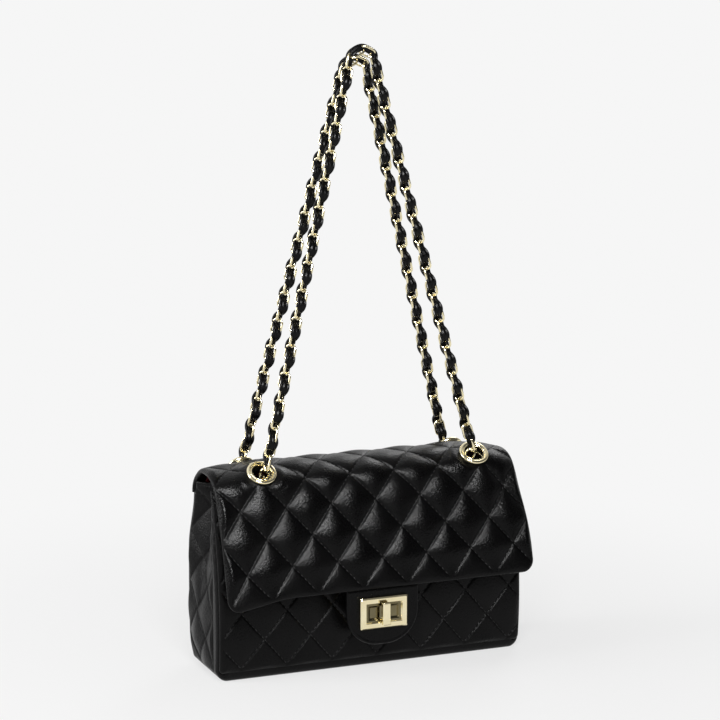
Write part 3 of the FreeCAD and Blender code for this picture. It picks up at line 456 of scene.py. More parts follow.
def shell(u, v, base, distance, rise, thick, roll, falls=None, holes=None):
    """A padded panel: an outer and an inner sheet that meet along the panel's edge.

    Outside, the height is the rise, tapered by the edge, less a quarter ellipse over the
    last millimetres; inside, minus the thickness, less the like. Cells are cut along the
    nearest seam and left out in a hole. Gives points, faces and the points' rise."""
    point, normal = base(u, v)
    arch, half = quarter(distance / roll), thick / 2
    outer = -half + half * arch + rise * ease(distance / 5.0)
    inner = -half - half * arch
    rows, cols = u.shape
    number = arange(rows * cols).reshape(rows, cols)
    rim = np.zeros_like(number, bool)
    rim[0], rim[-1], rim[:, 0], rim[:, -1] = True, True, True, True
    lower = np.where(rim, number, number + rows * cols)
    keep = np.ones((rows - 1, cols - 1), bool) if holes is None else ~holes
    top, under = (xyz(n[:-1, :-1], n[:-1, 1:], n[1:, 1:], n[1:, :-1])[keep]
        for n in (number, lower))
    under = under[:, ::-1]
    if falls is None:
        faces = [join([top, under])]
    else:
        way = falls[keep][:, None]
        first = np.where(way, top[:, [0, 1, 2]], top[:, [0, 1, 3]])
        second = np.where(way, top[:, [0, 2, 3]], top[:, [1, 2, 3]])
        faces = [join([first, second]), under]
    if holes is not None:
        faces.append(hole_walls(keep, number, lower))
    points = join([(point + normal * level[..., None]).reshape(-1, 3) for level in (outer, inner)])
    return points, faces, join([rise.ravel(), np.zeros(rows * cols)])


def hole_walls(keep, number, lower):
    """Faces between two sheets along the border of the cells that are left out."""
    rows, cols = number.shape
    walls = []
    for i, j, di, dj in ((0, 1, 1, 0), (1, 0, 0, 1)):
        here, there = keep[:rows - 1 - i, :cols - 1 - j], keep[i:, j:]
        for gone, turned in ((here & ~there, True), (there & ~here, False)):
            r, c = np.nonzero(gone)
            one, two = (r + i, c + j), (r + i + di, c + j + dj)
            if turned == bool(j):
                one, two = two, one
            walls.append(xyz(number[one], number[two], lower[two], lower[one]))
    return join(walls)


def mean_cells(grid):
    """The mean of the four corners of each cell of a grid."""
    return (grid[:-1, :-1] + grid[:-1, 1:] + grid[1:, :-1] + grid[1:, 1:]) / 4


def corner_width(half, v, low, radius):
    """Half width of a panel with two rounded lower corners, at level v above its low edge."""
    drop = clip(radius - (v - low), 0, radius)
    return half - (radius - sqrt(clip(radius ** 2 - drop ** 2, 0, None)))


def squeeze(u, half, wide, zone):
    """Columns in the outer zone drawn in so that the last one lies at the width."""
    inner = half - zone
    drawn = np.sign(u) * (inner + (np.abs(u) - half + zone) * (wide - half + zone) / zone)
    return np.where(np.abs(u) > inner, drawn, u)


STITCH_HALF, STITCH_SIZE = 1.45, 0.36


def make_stitches(name, body, quilt, place, inside):
    """Thread along a quilt's seams: short round stitches whose ends dip into the leather.

    A stitch is a ring of six points at five places of its length, thinner at the ends."""
    u, v, way = quilt.stitches()
    kept = inside(u, v)
    u, v, way = u[kept], v[kept], way[kept]
    t = array([-1.0, -0.72, 0.0, 0.72, 1.0])
    uu, vv = (c[:, None] + STITCH_HALF * t * d[:, None] for c, d in zip((u, v), way.T))
    point, normal = place(uu, vv)
    along = unit(point[:, -1:] - point[:, :1])
    across = unit(cross(normal, along))
    lift = 0.28 - 0.55 * t ** 2
    size = STITCH_SIZE * sqrt(1.02 - t ** 2)
    c, s = circle(6)
    grid = (point[:, :, None] + across[:, :, None] * (size[:, None] * c)[None, :, :, None]
        + normal[:, :, None] * (lift[:, None] + size[:, None] * s)[None, :, :, None])
    first = (arange(len(u)) * 30)[:, None, None]
    ends = array([[5, 4, 3, 2, 1, 0], [24, 25, 26, 27, 28, 29]])
    faces = [(quads(5, 6, close_cols=True)[None] + first).reshape(-1, 4),
        (ends[None] + first).reshape(-1, 6)]
    make_piece(name, [(grid, faces)], body, THREAD)


def make_quilted(name, body, node, part, quilt, place, inside):
    """A padded piece from a shell, and the stitches along its seams."""
    points, faces, rise = part
    piece = make_piece(f"{name}_quilt", [(points, faces)], body, BLACK, (node,),
        rise=rise / 3)
    make_stitches(f"{name}_stitches", body, quilt, place, inside)


# the flap

REAR_BEND, REAR_RADIUS = (3, 138.14), 25.862
SHOULDER, SHOULDER_RADIUS = (-6, 134), 30
RIDGE = 164                   # height of the level top
SLOPE, SLOPE_START, SLOPE_LONG = math.radians(16), (-34.84, 142.27), 76.2
FLAP_CORNER, FLAP_THICK, FLAP_ROLL = 10.0, 4.0, 3.0
EYELET_HOLE = 8.9


def flap_outline():
    """The flap's outer profile from its rear edge over the top to the hem, by distance along it.

    A short upright, a quarter circle, a level, an arc of 74 degrees and a sloping line, which
    runs on past the hem."""
    t = linspace(0, 1, 60)[1:]
    rear, shoulder = (xyz(y + r * cos(turn), z + r * sin(turn)) for (y, z), r, turn in
        ((REAR_BEND, REAR_RADIUS, t * pi / 2),
        (SHOULDER, SHOULDER_RADIUS, np.radians(90 + 74 * t))))
    slope = [[SLOPE_START[0] - math.sin(SLOPE) * s, SLOPE_START[1] - math.cos(SLOPE) * s]
        for s in (SLOPE_LONG, 96.0)]
    line = join([[[28.862, 136.4], [28.862, REAR_BEND[1]]], rear,
        [[REAR_BEND[0], RIDGE], [SHOULDER[0], RIDGE]], shoulder, slope])
    steps = np.linalg.norm(np.diff(line, axis=0), axis=1)
    return line, np.append(0, np.cumsum(steps))


FLAP_LINE, FLAP_ALONG = flap_outline()
FLAP_HEM = FLAP_ALONG[-2]
FLAP_QUILT = Quilt((0.8, FLAP_HEM - SLOPE_LONG + 8.0), DIAMOND_WIDE, DIAMOND_HIGH, 2.9, 0.85)


def flap_eyelets(u, v):
    """Distance along the leather from the nearest eyelet's middle."""
    far = np.full(np.broadcast(u, v).shape, 1e3)
    for seat in (FRONT_SEAT, REAR_SEAT):
        at = FLAP_ALONG[np.argmin(hypot(*(FLAP_LINE - seat).T))]
        far = minimum(far, hypot(np.abs(u) - EYELET_ACROSS, v - at))
    return far


def flap_profile(v):
    """Level and height of the profile at distance v along it."""
    return np.stack([np.interp(v, FLAP_ALONG, FLAP_LINE[:, k]) for k in (0, 1)])


def flap_surface(u, v):
    """Point and outward normal of the flap's profile at distance v, at u across.

    The top slumps a little, more toward the two ends, most and drawn in at the right one, and
    stays level about the eyelets."""
    y, z = flap_profile(v)
    dy, dz = flap_profile(v + 0.8) - flap_profile(v - 0.8)
    size = hypot(dy, dz)
    normal = xyz(np.zeros_like(y), dz / size, -dy / size)
    slump = ((2.2 + 2.0 * ease((np.abs(u) - 70) / 56)) * ease(v / 26)
        * (1 - ease((v - 80) / 50)) * ease((flap_eyelets(u, v) - 9) / 12))
    end = ease((u - 94) / 34) * ease((v - 8) / 30) * (1 - ease((v - 78) / 70))
    slump = slump + 3.6 * end
    return xyz(u - 4.0 * end, y, z) - normal * slump[..., None], normal


def flap_hang(u, v):
    """The left lower corner hangs a few millimetres lower than the rest of the hem."""
    return v + 7.0 * ease((-72 - u) / 54) * ease((v - FLAP_HEM + 60) / 60)


def flap_rise(u, v):
    """The quilt's rise, lower over the top and toward hem and hinge, flat about the eyelets."""
    return (FLAP_QUILT.rise(u, v) * (0.5 + 0.5 * ease((v - 52) / 34))
        * (0.2 + 0.8 * ease((FLAP_HEM - v) / 24))
        * ease((flap_eyelets(u, v) - 10.5) / 7) * ease((v - 1) / 10))


def flap_edge(u, v):
    """Half width and distance from the flap's edge; the two lower corners are rounded."""
    wide = corner_width(FLAP_HALF, FLAP_HEM - v, 0.0, FLAP_CORNER)
    return wide, minimum(minimum(wide - np.abs(u), FLAP_HEM - v), v + 1.0)


def flap_place(u, v):
    """Point on the flap's cushions and the normal of its profile there."""
    point, normal = flap_surface(u, flap_hang(u, v))
    return point + normal * flap_rise(u, v)[..., None], normal


def flap_sewn(u, v):
    """True where the flap's seams have stitches: clear of the edges and the eyelets."""
    clear = flap_edge(u, clip(v, 0, FLAP_HEM))[1] > 4.5
    return (np.abs(u) < 121) & (v > 5) & (v < FLAP_HEM - 5) & clear & (flap_eyelets(u, v) > 14)


def make_flap():
    """The quilted flap, a shell over its profile, with a hole for each eyelet."""
    u = lattice_lines(-FLAP_HALF, FLAP_HALF, FLAP_QUILT.middle[0], DIAMOND_WIDE / 2 / STEPS)
    v = lattice_lines(0.0, FLAP_HEM, FLAP_QUILT.middle[1], DIAMOND_HIGH / 2 / STEPS)
    u, v = meshgrid(u, v)
    u = squeeze(u, FLAP_HALF, flap_edge(u, v)[0], 30.0)
    middle = mean_cells(u), mean_cells(v)
    part = shell(u, flap_hang(u, v), flap_surface, flap_edge(u, v)[1], flap_rise(u, v),
        FLAP_THICK, FLAP_ROLL, FLAP_QUILT.falls(*middle), flap_eyelets(*middle) < EYELET_HOLE)
    make_quilted("flap", "flap", "flap", part, FLAP_QUILT, flap_place, flap_sewn)


def make_flap_lining():
    """Red cloth on the inside of the flap, set in from its edges, with room for the eyelets."""
    side, hem, rear, depth, hole = 9.0, 7.0, 9.0, 4.15, 12.5
    half, high = FLAP_HALF - side, FLAP_HEM - hem
    u, v = meshgrid(linspace(-half, half, 190), linspace(rear, high, 120))
    wide = corner_width(half, high - v, 0.0, 8.0)
    u = squeeze(u, half, wide, 30.0)
    near = minimum(minimum(wide - np.abs(u), high - v), v - rear)

    def base(u, v):
        point, normal = flap_surface(u, flap_hang(u, v))
        return point - normal * depth, normal
    holes = flap_eyelets(mean_cells(u), mean_cells(v)) < hole
    part = shell(u, v, base, near, 0 * u, 0.9, 0.8, None, holes)
    piece = make_piece("flap_lining_cloth", [part[:2]], "flap", RED, ("flap_lining",))


def make_hinge_strip():
    """A strip of leather inside, from the back panel to the flap.

    It stands upright and then follows a circle of radius 20.2 within the flap's rear bend."""
    x, t = meshgrid(linspace(-112, 112, 40), linspace(0, 1, 30))
    z = 122 + 24 * t
    bent = 3 + sqrt(clip(20.2 ** 2 - (z - 138.1) ** 2, 0, None))
    grid = xyz(x, np.where(z > 138.1, bent, 23.2) + 0 * x, z)
    part = two_sheets(grid, grid - array([0, 0.7, 0]))
    piece = make_piece("hinge_strip", [part], None, BLACK)
    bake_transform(piece)


# the body

PANEL_HALF, PANEL_LOW, PANEL_CORNER = 124.6, 6.4, 4.0
PANEL_THICK, PANEL_ROLL = 4.2, 3.2
BODY_DIAMOND = DIAMOND_WIDE + 0.5, DIAMOND_HIGH - 0.6
FRONT_QUILT = Quilt((3.5, 9.5), *BODY_DIAMOND, 1.4, 0.8)
BACK_QUILT = Quilt((3.5, 9.5), *BODY_DIAMOND, 1.3, 0.5, -1)


def front_face(z):
    """Level of the front panel: part of a circle of radius 302."""
    return 270 - sqrt(302.0 ** 2 - (z - 42) ** 2)


def back_face(z):
    """Level of the back panel: part of a circle of radius 700."""
    return -667 + sqrt(700.0 ** 2 - (z - 60) ** 2)


def bulge(z):
    """How far the sides swell toward the back at height z."""
    return 3.6 * ease((z - 3) / 22) * ease((134 - z) / 40)


def panel_surface(face, out):
    """A panel's point and outward normal from the face's level at height z and its slope."""
    def surface(x, z):
        slope = face(z + 0.5) - face(z - 0.5)
        size = sqrt(1 + slope ** 2)
        normal = xyz(np.zeros_like(z), out / size, -out * slope / size)
        return xyz(x, face(z), z), normal
    return surface


def make_panel(name, face, out, node, quilt, top):
    """A quilted panel of the body, its two lower corners rounded, with its stitches.

    The back panel swells with the sides, and the rise ends at the top edge."""
    x = lattice_lines(-PANEL_HALF, PANEL_HALF, quilt.middle[0], quilt.wide / 2 / STEPS)
    z = lattice_lines(PANEL_LOW, top, quilt.middle[1], quilt.high / 2 / STEPS)
    x, z = meshgrid(x, z)
    surface = panel_surface(face, out)

    def edge(x, z):
        wide = corner_width(PANEL_HALF, z, PANEL_LOW, PANEL_CORNER) + (bulge(z) if out > 0 else 0)
        return wide, minimum(minimum(wide - np.abs(x), z - PANEL_LOW), top - z + 1.2)

    def rise(x, z):
        return quilt.rise(x, z) * ease((top - 1 - z) / 10)

    def place(x, z):
        point, normal = surface(x, z)
        return point + normal * rise(x, z)[..., None], normal

    def sewn(x, z):
        clear = edge(x, clip(z, PANEL_LOW, top))[1] > 4
        return (z > PANEL_LOW + 4) & (z < top - 4) & clear
    x = squeeze(x, PANEL_HALF, edge(x, z)[0], 28.0)
    part = shell(x, z, surface, edge(x, z)[1], rise(x, z), PANEL_THICK, PANEL_ROLL,
        quilt.falls(mean_cells(x), mean_cells(z)))
    make_quilted(name, "bag_body", node, part, quilt, place, sewn)


BAND_QUILT = Quilt((-3.5, 28.5), 29.5, 40.0, 1.6, 0.6)
BAND_SEAM = -17.5             # level of the seam between the gusset and its front strip
BAND_HALF, BAND_CORNER, BAND_THICK = 125.6, 8.5, 3.0
BAND_FOLD = 13.5              # how deep the gussets fold in at the mouth


def band_line():
    """The band's path from the left mouth down, round a corner, along the base and up again."""
    radius, half = BAND_CORNER, BAND_HALF
    drop = linspace(0, 1, 130)
    corner = np.radians(linspace(0, 90, 18))[1:]
    left = xyz(np.full(130, -half), SIDE_TOP + (radius - SIDE_TOP) * drop)
    turn = xyz(-half + radius - radius * cos(corner), radius - radius * sin(corner))
    base = xyz(linspace(-half + radius, half - radius, 120)[1:], np.zeros(119))
    path = join([left, turn, base])
    path = join([path, (join([turn[::-1], left[::-1]]) * (-1, 1))[1:]])
    tangent = unit(np.gradient(path, axis=0))
    return path, xyz(tangent[:, 1], -tangent[:, 0])


def band_grid(t, sink=0.0, inset=0.0):
    """Points of the band at shares t from the front seam to the back one, rise and normals.

    It is level across and falls in an ellipse toward both seams, steeply under the base. Near
    the mouth the gusset folds inward in a V behind its front strip, which is a little wavy.
    The sides swell toward the back."""
    path, normal = band_line()
    (x, z), (nx, nz) = path.T[..., None], normal.T[..., None]
    height, down = clip(z, 0, SIDE_TOP), np.abs(nz)
    low = maximum(height, 8.0)
    front = front_face(low) + 3.2 - 2.4 * down + inset
    back = np.where(low < MOUTH, back_face(low) - 3.4 + 2.2 * down,
        23.4 - 0.25 * (low - MOUTH)) - inset
    y = front + (back - front) * t[None]
    depth, zone = 2.2 + 6.4 * down ** 2, 3.4 + 1.0 * down
    out = -depth * (1 - quarter(minimum(y - front, back - y) / zone))
    upright = 1 - ease(down * 1.6)
    fold = ease((height - 34) / 96) * (1 - down)
    crease = np.where(y < 7, (y - BAND_SEAM) / (7 - BAND_SEAM), (back - 1 - y) / (back - 8))
    tuck = fold * BAND_FOLD * clip(crease, 0, 1) ** 1.15
    seam = exp(-((y - BAND_SEAM) / 0.9) ** 2) * upright
    behind = ease((y - BAND_SEAM - 0.5) / 4) * ease((back - y) / 5)
    rise = (BAND_QUILT.rise(y + 0 * height, height + 0 * y) * behind * upright
        * ease((SIDE_TOP - height) / 5))
    before = ease((BAND_SEAM - y) / 3)
    strip = 0.55 * ease((y - front) / 4) * before * upright
    wave = 0.22 * sin(height * 0.62 + 1.3 * sin(height * 0.11)) * before * upright
    out = out - tuck + rise + strip + wave * fold - 0.7 * seam - sink
    out = out + bulge(height) * ease((y - BAND_SEAM) / 34) * upright
    grid = xyz(x + nx * out, y + 0 * out, maximum(z + nz * out, 0.0))
    return grid, rise, xyz(nx + 0 * y, 0 * y, nz + 0 * y)


def make_band():
    """The band of leather from the left gusset under the base to the right gusset."""
    fine = array([0, 0.004, 0.012, 0.024, 0.04, 0.06])
    t = join([fine, linspace(0.075, 0.925, 84), (1 - fine)[::-1]])
    grid, rise, normal = band_grid(t)
    piece = make_piece("side_band", [two_sheets(grid, grid - normal * BAND_THICK)], "bag_body",
        BLACK, ("left_gusset", "right_gusset", "base_panel"),
        rise=join([rise.ravel() / 3, np.zeros(rise.size)]))


def make_linings():
    """Red cloth inside the body: front, back, and one long piece for the sides and the base."""
    grid, _, normal = band_grid(linspace(0, 1, 50), 3.4, 2.0)
    keep = slice(1, -1)
    make_cloth("side_lining", grid[keep], normal[keep] * CLOTH,
        ("lining_left", "lining_right", "lining_base"))
    for name, face, out, top in (("front", front_face, -1, SIDE_TOP - 4.0),
            ("back", back_face, 1, 126.0)):
        x, z = meshgrid(linspace(-111, 111, 80), linspace(10.5, top, 50))
        x = x * (1 - 0.055 * ease((z - 40) / 90))
        point, normal = panel_surface(face, out)(x, z)
        make_cloth(f"{name}_lining", point - normal * 4.6, normal * CLOTH,
            (f"lining_{name}",))


def make_pocket():
    """The slip pocket on the back lining: a sheet sewn on three sides, a little open at its top.

    Its depth grows as the height times one less the square of the place across."""
    low, high = (array(c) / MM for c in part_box("slip_pocket"))
    x, z = meshgrid(linspace(low[0], high[0], 60), linspace(low[2], high[2], 40))
    inward = (z - low[2]) / (high[2] - low[2]) * (1 - (2 * x / (high[0] - low[0])) ** 2)
    y = back_face(z) - 5.9 - 2.6 * clip(inward, 0, 1)
    make_cloth("pocket_cloth", xyz(x, y, z), array([0, CLOTH, 0]),
        ("slip_pocket",))


def make_cloth(name, grid, through, replaced):
    """A red sheet between a grid and the grid less its thickness, and its area.

    The area is half the cross product of the two diagonals of each cell, added up."""
    part = two_sheets(grid, grid - through)
    piece = make_piece(name, [part], "bag_body", RED, replaced)
    one, two = grid[1:, 1:] - grid[:-1, :-1], grid[1:, :-1] - grid[:-1, 1:]
    area = np.linalg.norm(cross(one, two), axis=-1).sum() / 2


# the chain

# radius of a link's ends, their middles from its own, radius of its wire
LINK_RADIUS, LINK_CENTRE, WIRE = 4.0, 2.25, 0.9
PITCH, LINK_COUNT, LINKED, LINK_LENGTH = 10.6, 30, 1.9, 12.5
FIRST = LINK_LENGTH / 2 - (1.6 * math.sqrt(2) + 0.3)  # first link's middle from the pivot
STRAND = FIRST + PITCH * (LINK_COUNT - 0.5)
STRAND_INSET, PIVOT_RISE = 2.9, 6  # of a pivot from the eyelet's middle
FRONT_PIVOT, REAR_PIVOT = (-26.131, 163.845), (29.722, 155.491)
LINK_TURN = math.radians(45)  # turn of a link to either side of the loop's face
EYELET_TURNS = np.radians([90, 9, -72, 27, -54])  # of the first links from an eyelet
LACE_START, LACE_SWAY = 1.6, 3.4


def link_ring():
    """One link about its own centre: a round wire along two half circles and two straights."""
    t = linspace(-pi / 2, pi / 2, 12)
    side = xyz(sin(t), cos(t))
    line = LINK_RADIUS * side + (0, LINK_CENTRE)
    line, side = join([line, -line]), join([side, -side])
    c, s = circle(8)
    flat = line[:, None] + side[:, None] * (WIRE * c)[None, :, None]
    depth = np.broadcast_to(WIRE * s, flat.shape[:2])
    return join([flat, depth[..., None]], -1).reshape(-1, 3)


LINK_POINTS, LINK_FACES = link_ring(), quads(24, 8, True, True)


def links(centres, runs, widths):
    """Links at their centres: a point's first number lies along the width, the next the run."""
    runs, widths = unit(runs), unit(widths)
    depth = cross(widths, runs)
    points = centres[:, None] + widths[:, None] * LINK_POINTS[None, :, :1]
    points = points + runs[:, None] * LINK_POINTS[None, :, 1:2]
    points = points + depth[:, None] * LINK_POINTS[None, :, 2:]
    first = (arange(len(centres)) * len(LINK_POINTS))[:, None, None]
    return points, [(LINK_FACES[None] + first).reshape(-1, 4)[:, ::-1]]


def outward(lean, out):
    """An eyelet's axis: upright, leaning to the front or the back."""
    return array([0, out * math.sin(lean), math.cos(lean)])


def loop_frame(seat, lean, out, top_back):
    """Directions of one strap loop: each strand a straight line, and a top of two short links.

    The spread of the strand is found by turns so that both strands meet over the middle."""
    pivot = array([STRAND_INSET - EYELET_ACROSS, *seat]) + outward(lean, out) * PIVOT_RISE
    span = -pivot[0]
    spread = math.asin(span / (STRAND + PITCH))
    for _ in range(40):
        bend = (math.pi / 2 - spread) / 1.5
        reach = (LINKED + 0.8) / 2 / math.cos(bend / 2)
        shift = reach - LINKED / 2
        chord = LINK_LENGTH - 2 * reach
        spread = math.asin((span - chord * math.cos(bend / 2)) / (STRAND - shift))
    tilt = math.asin((top_back - pivot[1]) / (STRAND * math.cos(spread)))
    x, up = array([1.0, 0, 0]), array([0, math.sin(tilt), math.cos(tilt)])
    run = x * math.sin(spread) + up * math.cos(spread)
    across = x * math.cos(spread) - up * math.sin(spread)
    return SimpleNamespace(pivot=pivot, up=up, run=run, across=across, facing=cross(run, across),
        corner=pivot + run * (STRAND - shift), chord=chord,
        top_run=x * math.cos(bend / 2) + up * math.sin(bend / 2),
        top_across=x * math.sin(bend / 2) - up * math.cos(bend / 2))


def half_turn(points, f, vectors=False):
    """Points of the left strand turned half round the loop's upright line."""
    origin = np.zeros(3) if vectors else array([0.0, f.pivot[1], f.pivot[2]])
    d = np.asarray(points) - origin
    return origin + 2 * (d @ f.up)[..., None] * f.up - d


def twisted(run, across, angle):
    """The link's width direction turned by an angle about its run."""
    normal = cross(run, across)
    level = cross(normal, run)
    return level * math.cos(angle) + normal * math.sin(angle)


def make_loop(name, f, body):
    """Gold links and the leather lace of one strap loop; the right half is the left one turned."""
    i = arange(LINK_COUNT)
    centres = f.pivot + f.run * (FIRST + PITCH * i)[:, None]
    turns = np.where(i % 2, LINK_TURN, -LINK_TURN)
    turns[:len(EYELET_TURNS)] = EYELET_TURNS
    widths = [twisted(f.run, f.across, t) for t in turns]
    widths = array([*widths, twisted(f.top_run, f.top_across, -LINK_TURN)])
    top = f.corner + f.top_run * f.chord / 2
    centres = join([centres, top[None]])
    runs = array([f.run] * LINK_COUNT + [f.top_run])
    for side in ("left", "right"):
        if side == "right":
            centres = half_turn(centres, f)
            runs, widths = half_turn(runs, f, True), half_turn(widths, f, True)
        make_piece(f"{name}_links_{side}", [links(centres, runs, widths)], body, GOLD,
            (f"{name}_chain_{side}",))
    make_lace(name, f, body)


def make_lace(name, f, body):
    """The lace: it sways from the chain's front to its back as a cosine over two links.

    It is wide and pleated before or behind a crossing of links and narrow between. At the top
    it lies before the links of the front loop and behind those of the rear one."""
    s = arange(LACE_START, FIRST + PITCH * (LINK_COUNT - 1) + 0.01, PITCH / 12)
    wave = cos(pi * (s - FIRST - PITCH * 5.5) / PITCH)
    calm = ease((s + 2) / 16)
    sway = -LACE_SWAY * np.sign(wave) * np.abs(wave) ** 0.7 * (0.35 + 0.65 * calm)
    left = f.pivot + f.run * s[:, None] + f.facing * sway[:, None]
    right = half_turn(left[::-1], f)
    front = 1.0 if name == "front" else -1.0
    knots = array([left[-1], f.corner - f.top_across * 1.0,
        f.corner + f.top_run * f.chord + f.up * 1.2])
    knots = join([knots, half_turn(knots[:-1][::-1], f)])
    knots -= f.facing * (front * 0.8 * array([0, 1, 1, 1, 0]))[:, None]
    bend = smooth_line(knots, 12)[1:-1]
    path = join([left, bend, right])
    count = len(bend)
    tangent = unit(np.gradient(path, axis=0))
    across = join([np.broadcast_to(f.across, left.shape),
        unit(cross(f.facing, tangent[len(left):len(left) + count])),
        np.broadcast_to(half_turn(f.across, f, True), right.shape)])
    across = unit(across - tangent * (across * tangent).sum(-1, keepdims=True))
    facing = cross(tangent, across)
    full = np.abs(wave) ** 0.55
    fullness = join([full, np.full(count, 0.25), full[::-1]])
    start = join([calm, np.ones(count), calm[::-1]])
    wide = 2.5 + 1.35 * fullness - 0.5 * (1 - start)
    thick = 1.45 - 0.15 * fullness
    c, sn = circle(32)
    flat_x, flat_y = np.sign(c) * np.abs(c) ** 0.7, np.sign(sn) * np.abs(sn) ** 0.6
    drift = sin(arange(len(path)) * 0.31)[:, None] * 1.2
    pleat = 0.5 * cos(flat_x[None] * 7.4 + drift) * np.abs(sn)[None]
    section = xyz(wide[:, None] * flat_x[None],
        thick[:, None] * flat_y[None] + np.sign(sn)[None] * pleat)
    make_piece(f"{name}_lace", [carried(path, across, facing, section)], body, LACE,
        (f"{name}_lace_left", f"{name}_lace_right", f"{name}_lace_top"))


def smooth_line(knots, steps):
    """A smooth curve through knots, in steps: Hermite pieces with mean slopes."""
    last = len(knots) - 1
    t = linspace(0, last, steps * last + 1)
    slope = np.gradient(knots, axis=0)
    i = clip(t.astype(int), 0, last - 1)
    s = (t - i)[:, None]
    h1, h2 = 2 * s ** 3 - 3 * s ** 2 + 1, s ** 3 - 2 * s ** 2 + s
    return (h1 * knots[i] + h2 * slope[i] + (1 - h1) * knots[i + 1]
        + (s ** 3 - s ** 2) * slope[i + 1])


def make_inner_chains():
    """The short run of seven links under the flap from each front eyelet to the one behind it.

    Five links hang on an arc of equal chords whose bend is found by halving; the end links
    stand in the eyelets."""
    front_out, rear_out = outward(FRONT_LEAN, -1), outward(REAR_LEAN, 1)
    reach, chord, count = LINK_LENGTH - (LINKED + 0.3) / 2, PITCH - 0.3, 5
    for side, sign in (("left", -1), ("right", 1)):
        x = sign * (EYELET_ACROSS - STRAND_INSET)
        front, rear = array([x, *FRONT_PIVOT]), array([x, *REAR_PIVOT])
        start, end = front - front_out * reach, rear - rear_out * reach
        span = np.linalg.norm(end - start)
        least, most = 1e-4, 2.0
        for _ in range(60):
            bend = (least + most) / 2
            long = chord * math.sin(count * bend / 2) / math.sin(bend / 2)
            least, most = (bend, most) if long > span else (least, bend)
        run, down = unit(end - start), array([0.0, 0, -1.0])
        down = unit(down - run * (down @ run))
        angle = bend * ((count - 1) / 2 - arange(count))
        runs = run * cos(angle)[:, None] + down * sin(angle)[:, None]
        places = start + join([np.zeros((1, 3)), np.cumsum(runs * chord, 0)])
        middles = (places[1:] + places[:-1]) / 2
        wide = array([1.0, 0, 0])
        widths = [wide if k % 2 else cross(runs[k], wide) for k in range(count)]
        centres = array([front - front_out * LINK_LENGTH / 2, *middles,
            rear - rear_out * LINK_LENGTH / 2])
        part = links(centres, array([front_out, *runs, rear_out]), array([wide, *widths, wide]))
        make_piece(f"inner_links_{side}", [part], "flap", GOLD, (f"inner_chain_{side}",))


# eyelets and lock

LATHE_STEPS = 64
LOCK_LEVEL, TAB_FACE = 49.0, -50.93


def lathe(profile, centre, axis):
    """A closed profile of (radius, height) pairs turned about an axis through the centre."""
    axis = unit(axis)
    first = unit(cross(axis, [0.0, 0.0, 1.0] if abs(axis[2]) < 0.9 else [1.0, 0, 0]))
    second = cross(axis, first)
    c, s = circle(LATHE_STEPS)
    ring = first * c[:, None] + second * s[:, None]
    grid = centre + ring[:, None] * profile[None, :, :1] + axis * profile[None, :, 1:]
    return grid, [quads(LATHE_STEPS, len(profile), True, True)]


def make_eyelet(where, side, seat, lean, out, sign):
    """A gold eyelet: a rolled flange with an inner rim, a short barrel, and its washer inside."""
    axis = outward(lean, out)
    centre = array([sign * EYELET_ACROSS, *seat])
    t = linspace(0.1, pi * 0.86, 14)
    crown = xyz(9.95 + 1.6 * cos(t), 0.95 + 1.35 * sin(t))
    rim = [[8.25, 1.25], [8.1, 1.55], [7.85, 1.6], [7.7, 1.35], [7.7, -1.6], [8.5, -1.6],
        [8.6, -0.5]]
    flange = join([[[11.55, -0.5]], crown, rim])
    washer = array([[8.7, -6.4], [10.4, -6.4], [10.5, -6.1], [10.5, -5.5], [10.4, -5.2],
        [8.7, -5.2]])
    make_piece(f"eyelet_ring_{where}_{side}", [lathe(p, centre, axis) for p in (flange, washer)],
        "flap", GOLD, (f"eyelet_{where}_{side}", f"washer_{where}_{side}"))


def nested(rings, closed):
    """Rounded rectangles one inside the next as a closed part, five points a corner.

    A ring is its middle, half width, half height, corner radius and depth. Rings that don't
    close on themselves get a flat face at both ends."""
    t = linspace(0, pi / 2, 5)
    lines = []
    for middle, wide, high, radius, y in rings:
        c, s = cos(t) * radius, sin(t) * radius
        w, h = wide - radius, high - radius
        x = middle + join([w + c, -w - s, -w - c, w + s])
        z = LOCK_LEVEL + join([h + s, h + c, -h - s, -h - c])
        lines.append(xyz(x, np.full(len(x), y), z))
    n = len(lines[0])
    faces = [quads(len(rings), n, closed, True)]
    if not closed:
        last = (len(rings) - 1) * n
        faces.append(array([arange(n)[::-1], last + arange(n)]))
    return join(lines), faces


def make_lock():
    """The lock frame with two stepped pits in its window, their shade painted in darker gold, and
    the bar across it.
    """
    f = TAB_FACE
    frame_rings = [(0, 19.3, 12.25, 1.0, f), (0, 19.3, 12.25, 1.0, f - 2.5),
        (0, 18.35, 11.3, 0.8, f - 3.5), (0, 14.9, 8.0, 0.5, f - 3.5),
        (0, 14.0, 7.1, 0.4, f - 2.3), (0, 14.0, 7.1, 0.4, f)]
    pits = [[(m, 6.95, 7.1, 0.3, f - 0.05), (m, 6.95, 7.1, 0.3, f - 2.2),
        (m, 5.7, 5.8, 0.3, f - 2.2), (m, 5.3, 5.4, 0.3, f - 1.9),
        (m, 4.0, 4.1, 0.2, f - 0.9), (m, 3.6, 3.7, 0.2, f - 0.9)] for m in (-7.05, 7.05)]
    bar = [(0, 3.15, 8.75, 0.5, -56.5), (0, 3.15, 8.75, 0.5, -59.2), (0, 2.5, 8.1, 0.4, -60.0),
        (0, 0.6, 6.2, 0.2, -60.05)]
    make_piece("lock_frame_gold", [nested(frame_rings, True)], "flap", GOLD,
        ("lock_frame",), smooth=False)
    # the pits get the darkened gold: painted shade in the recess
    make_piece("lock_window", [nested(p, False) for p in pits], "flap", PIT_SHADE_GOLD,
        smooth=False)
    make_piece("turn_bar_gold", [nested(bar, False)], "turn_bar", GOLD, ("turn_bar",),
        smooth=False)


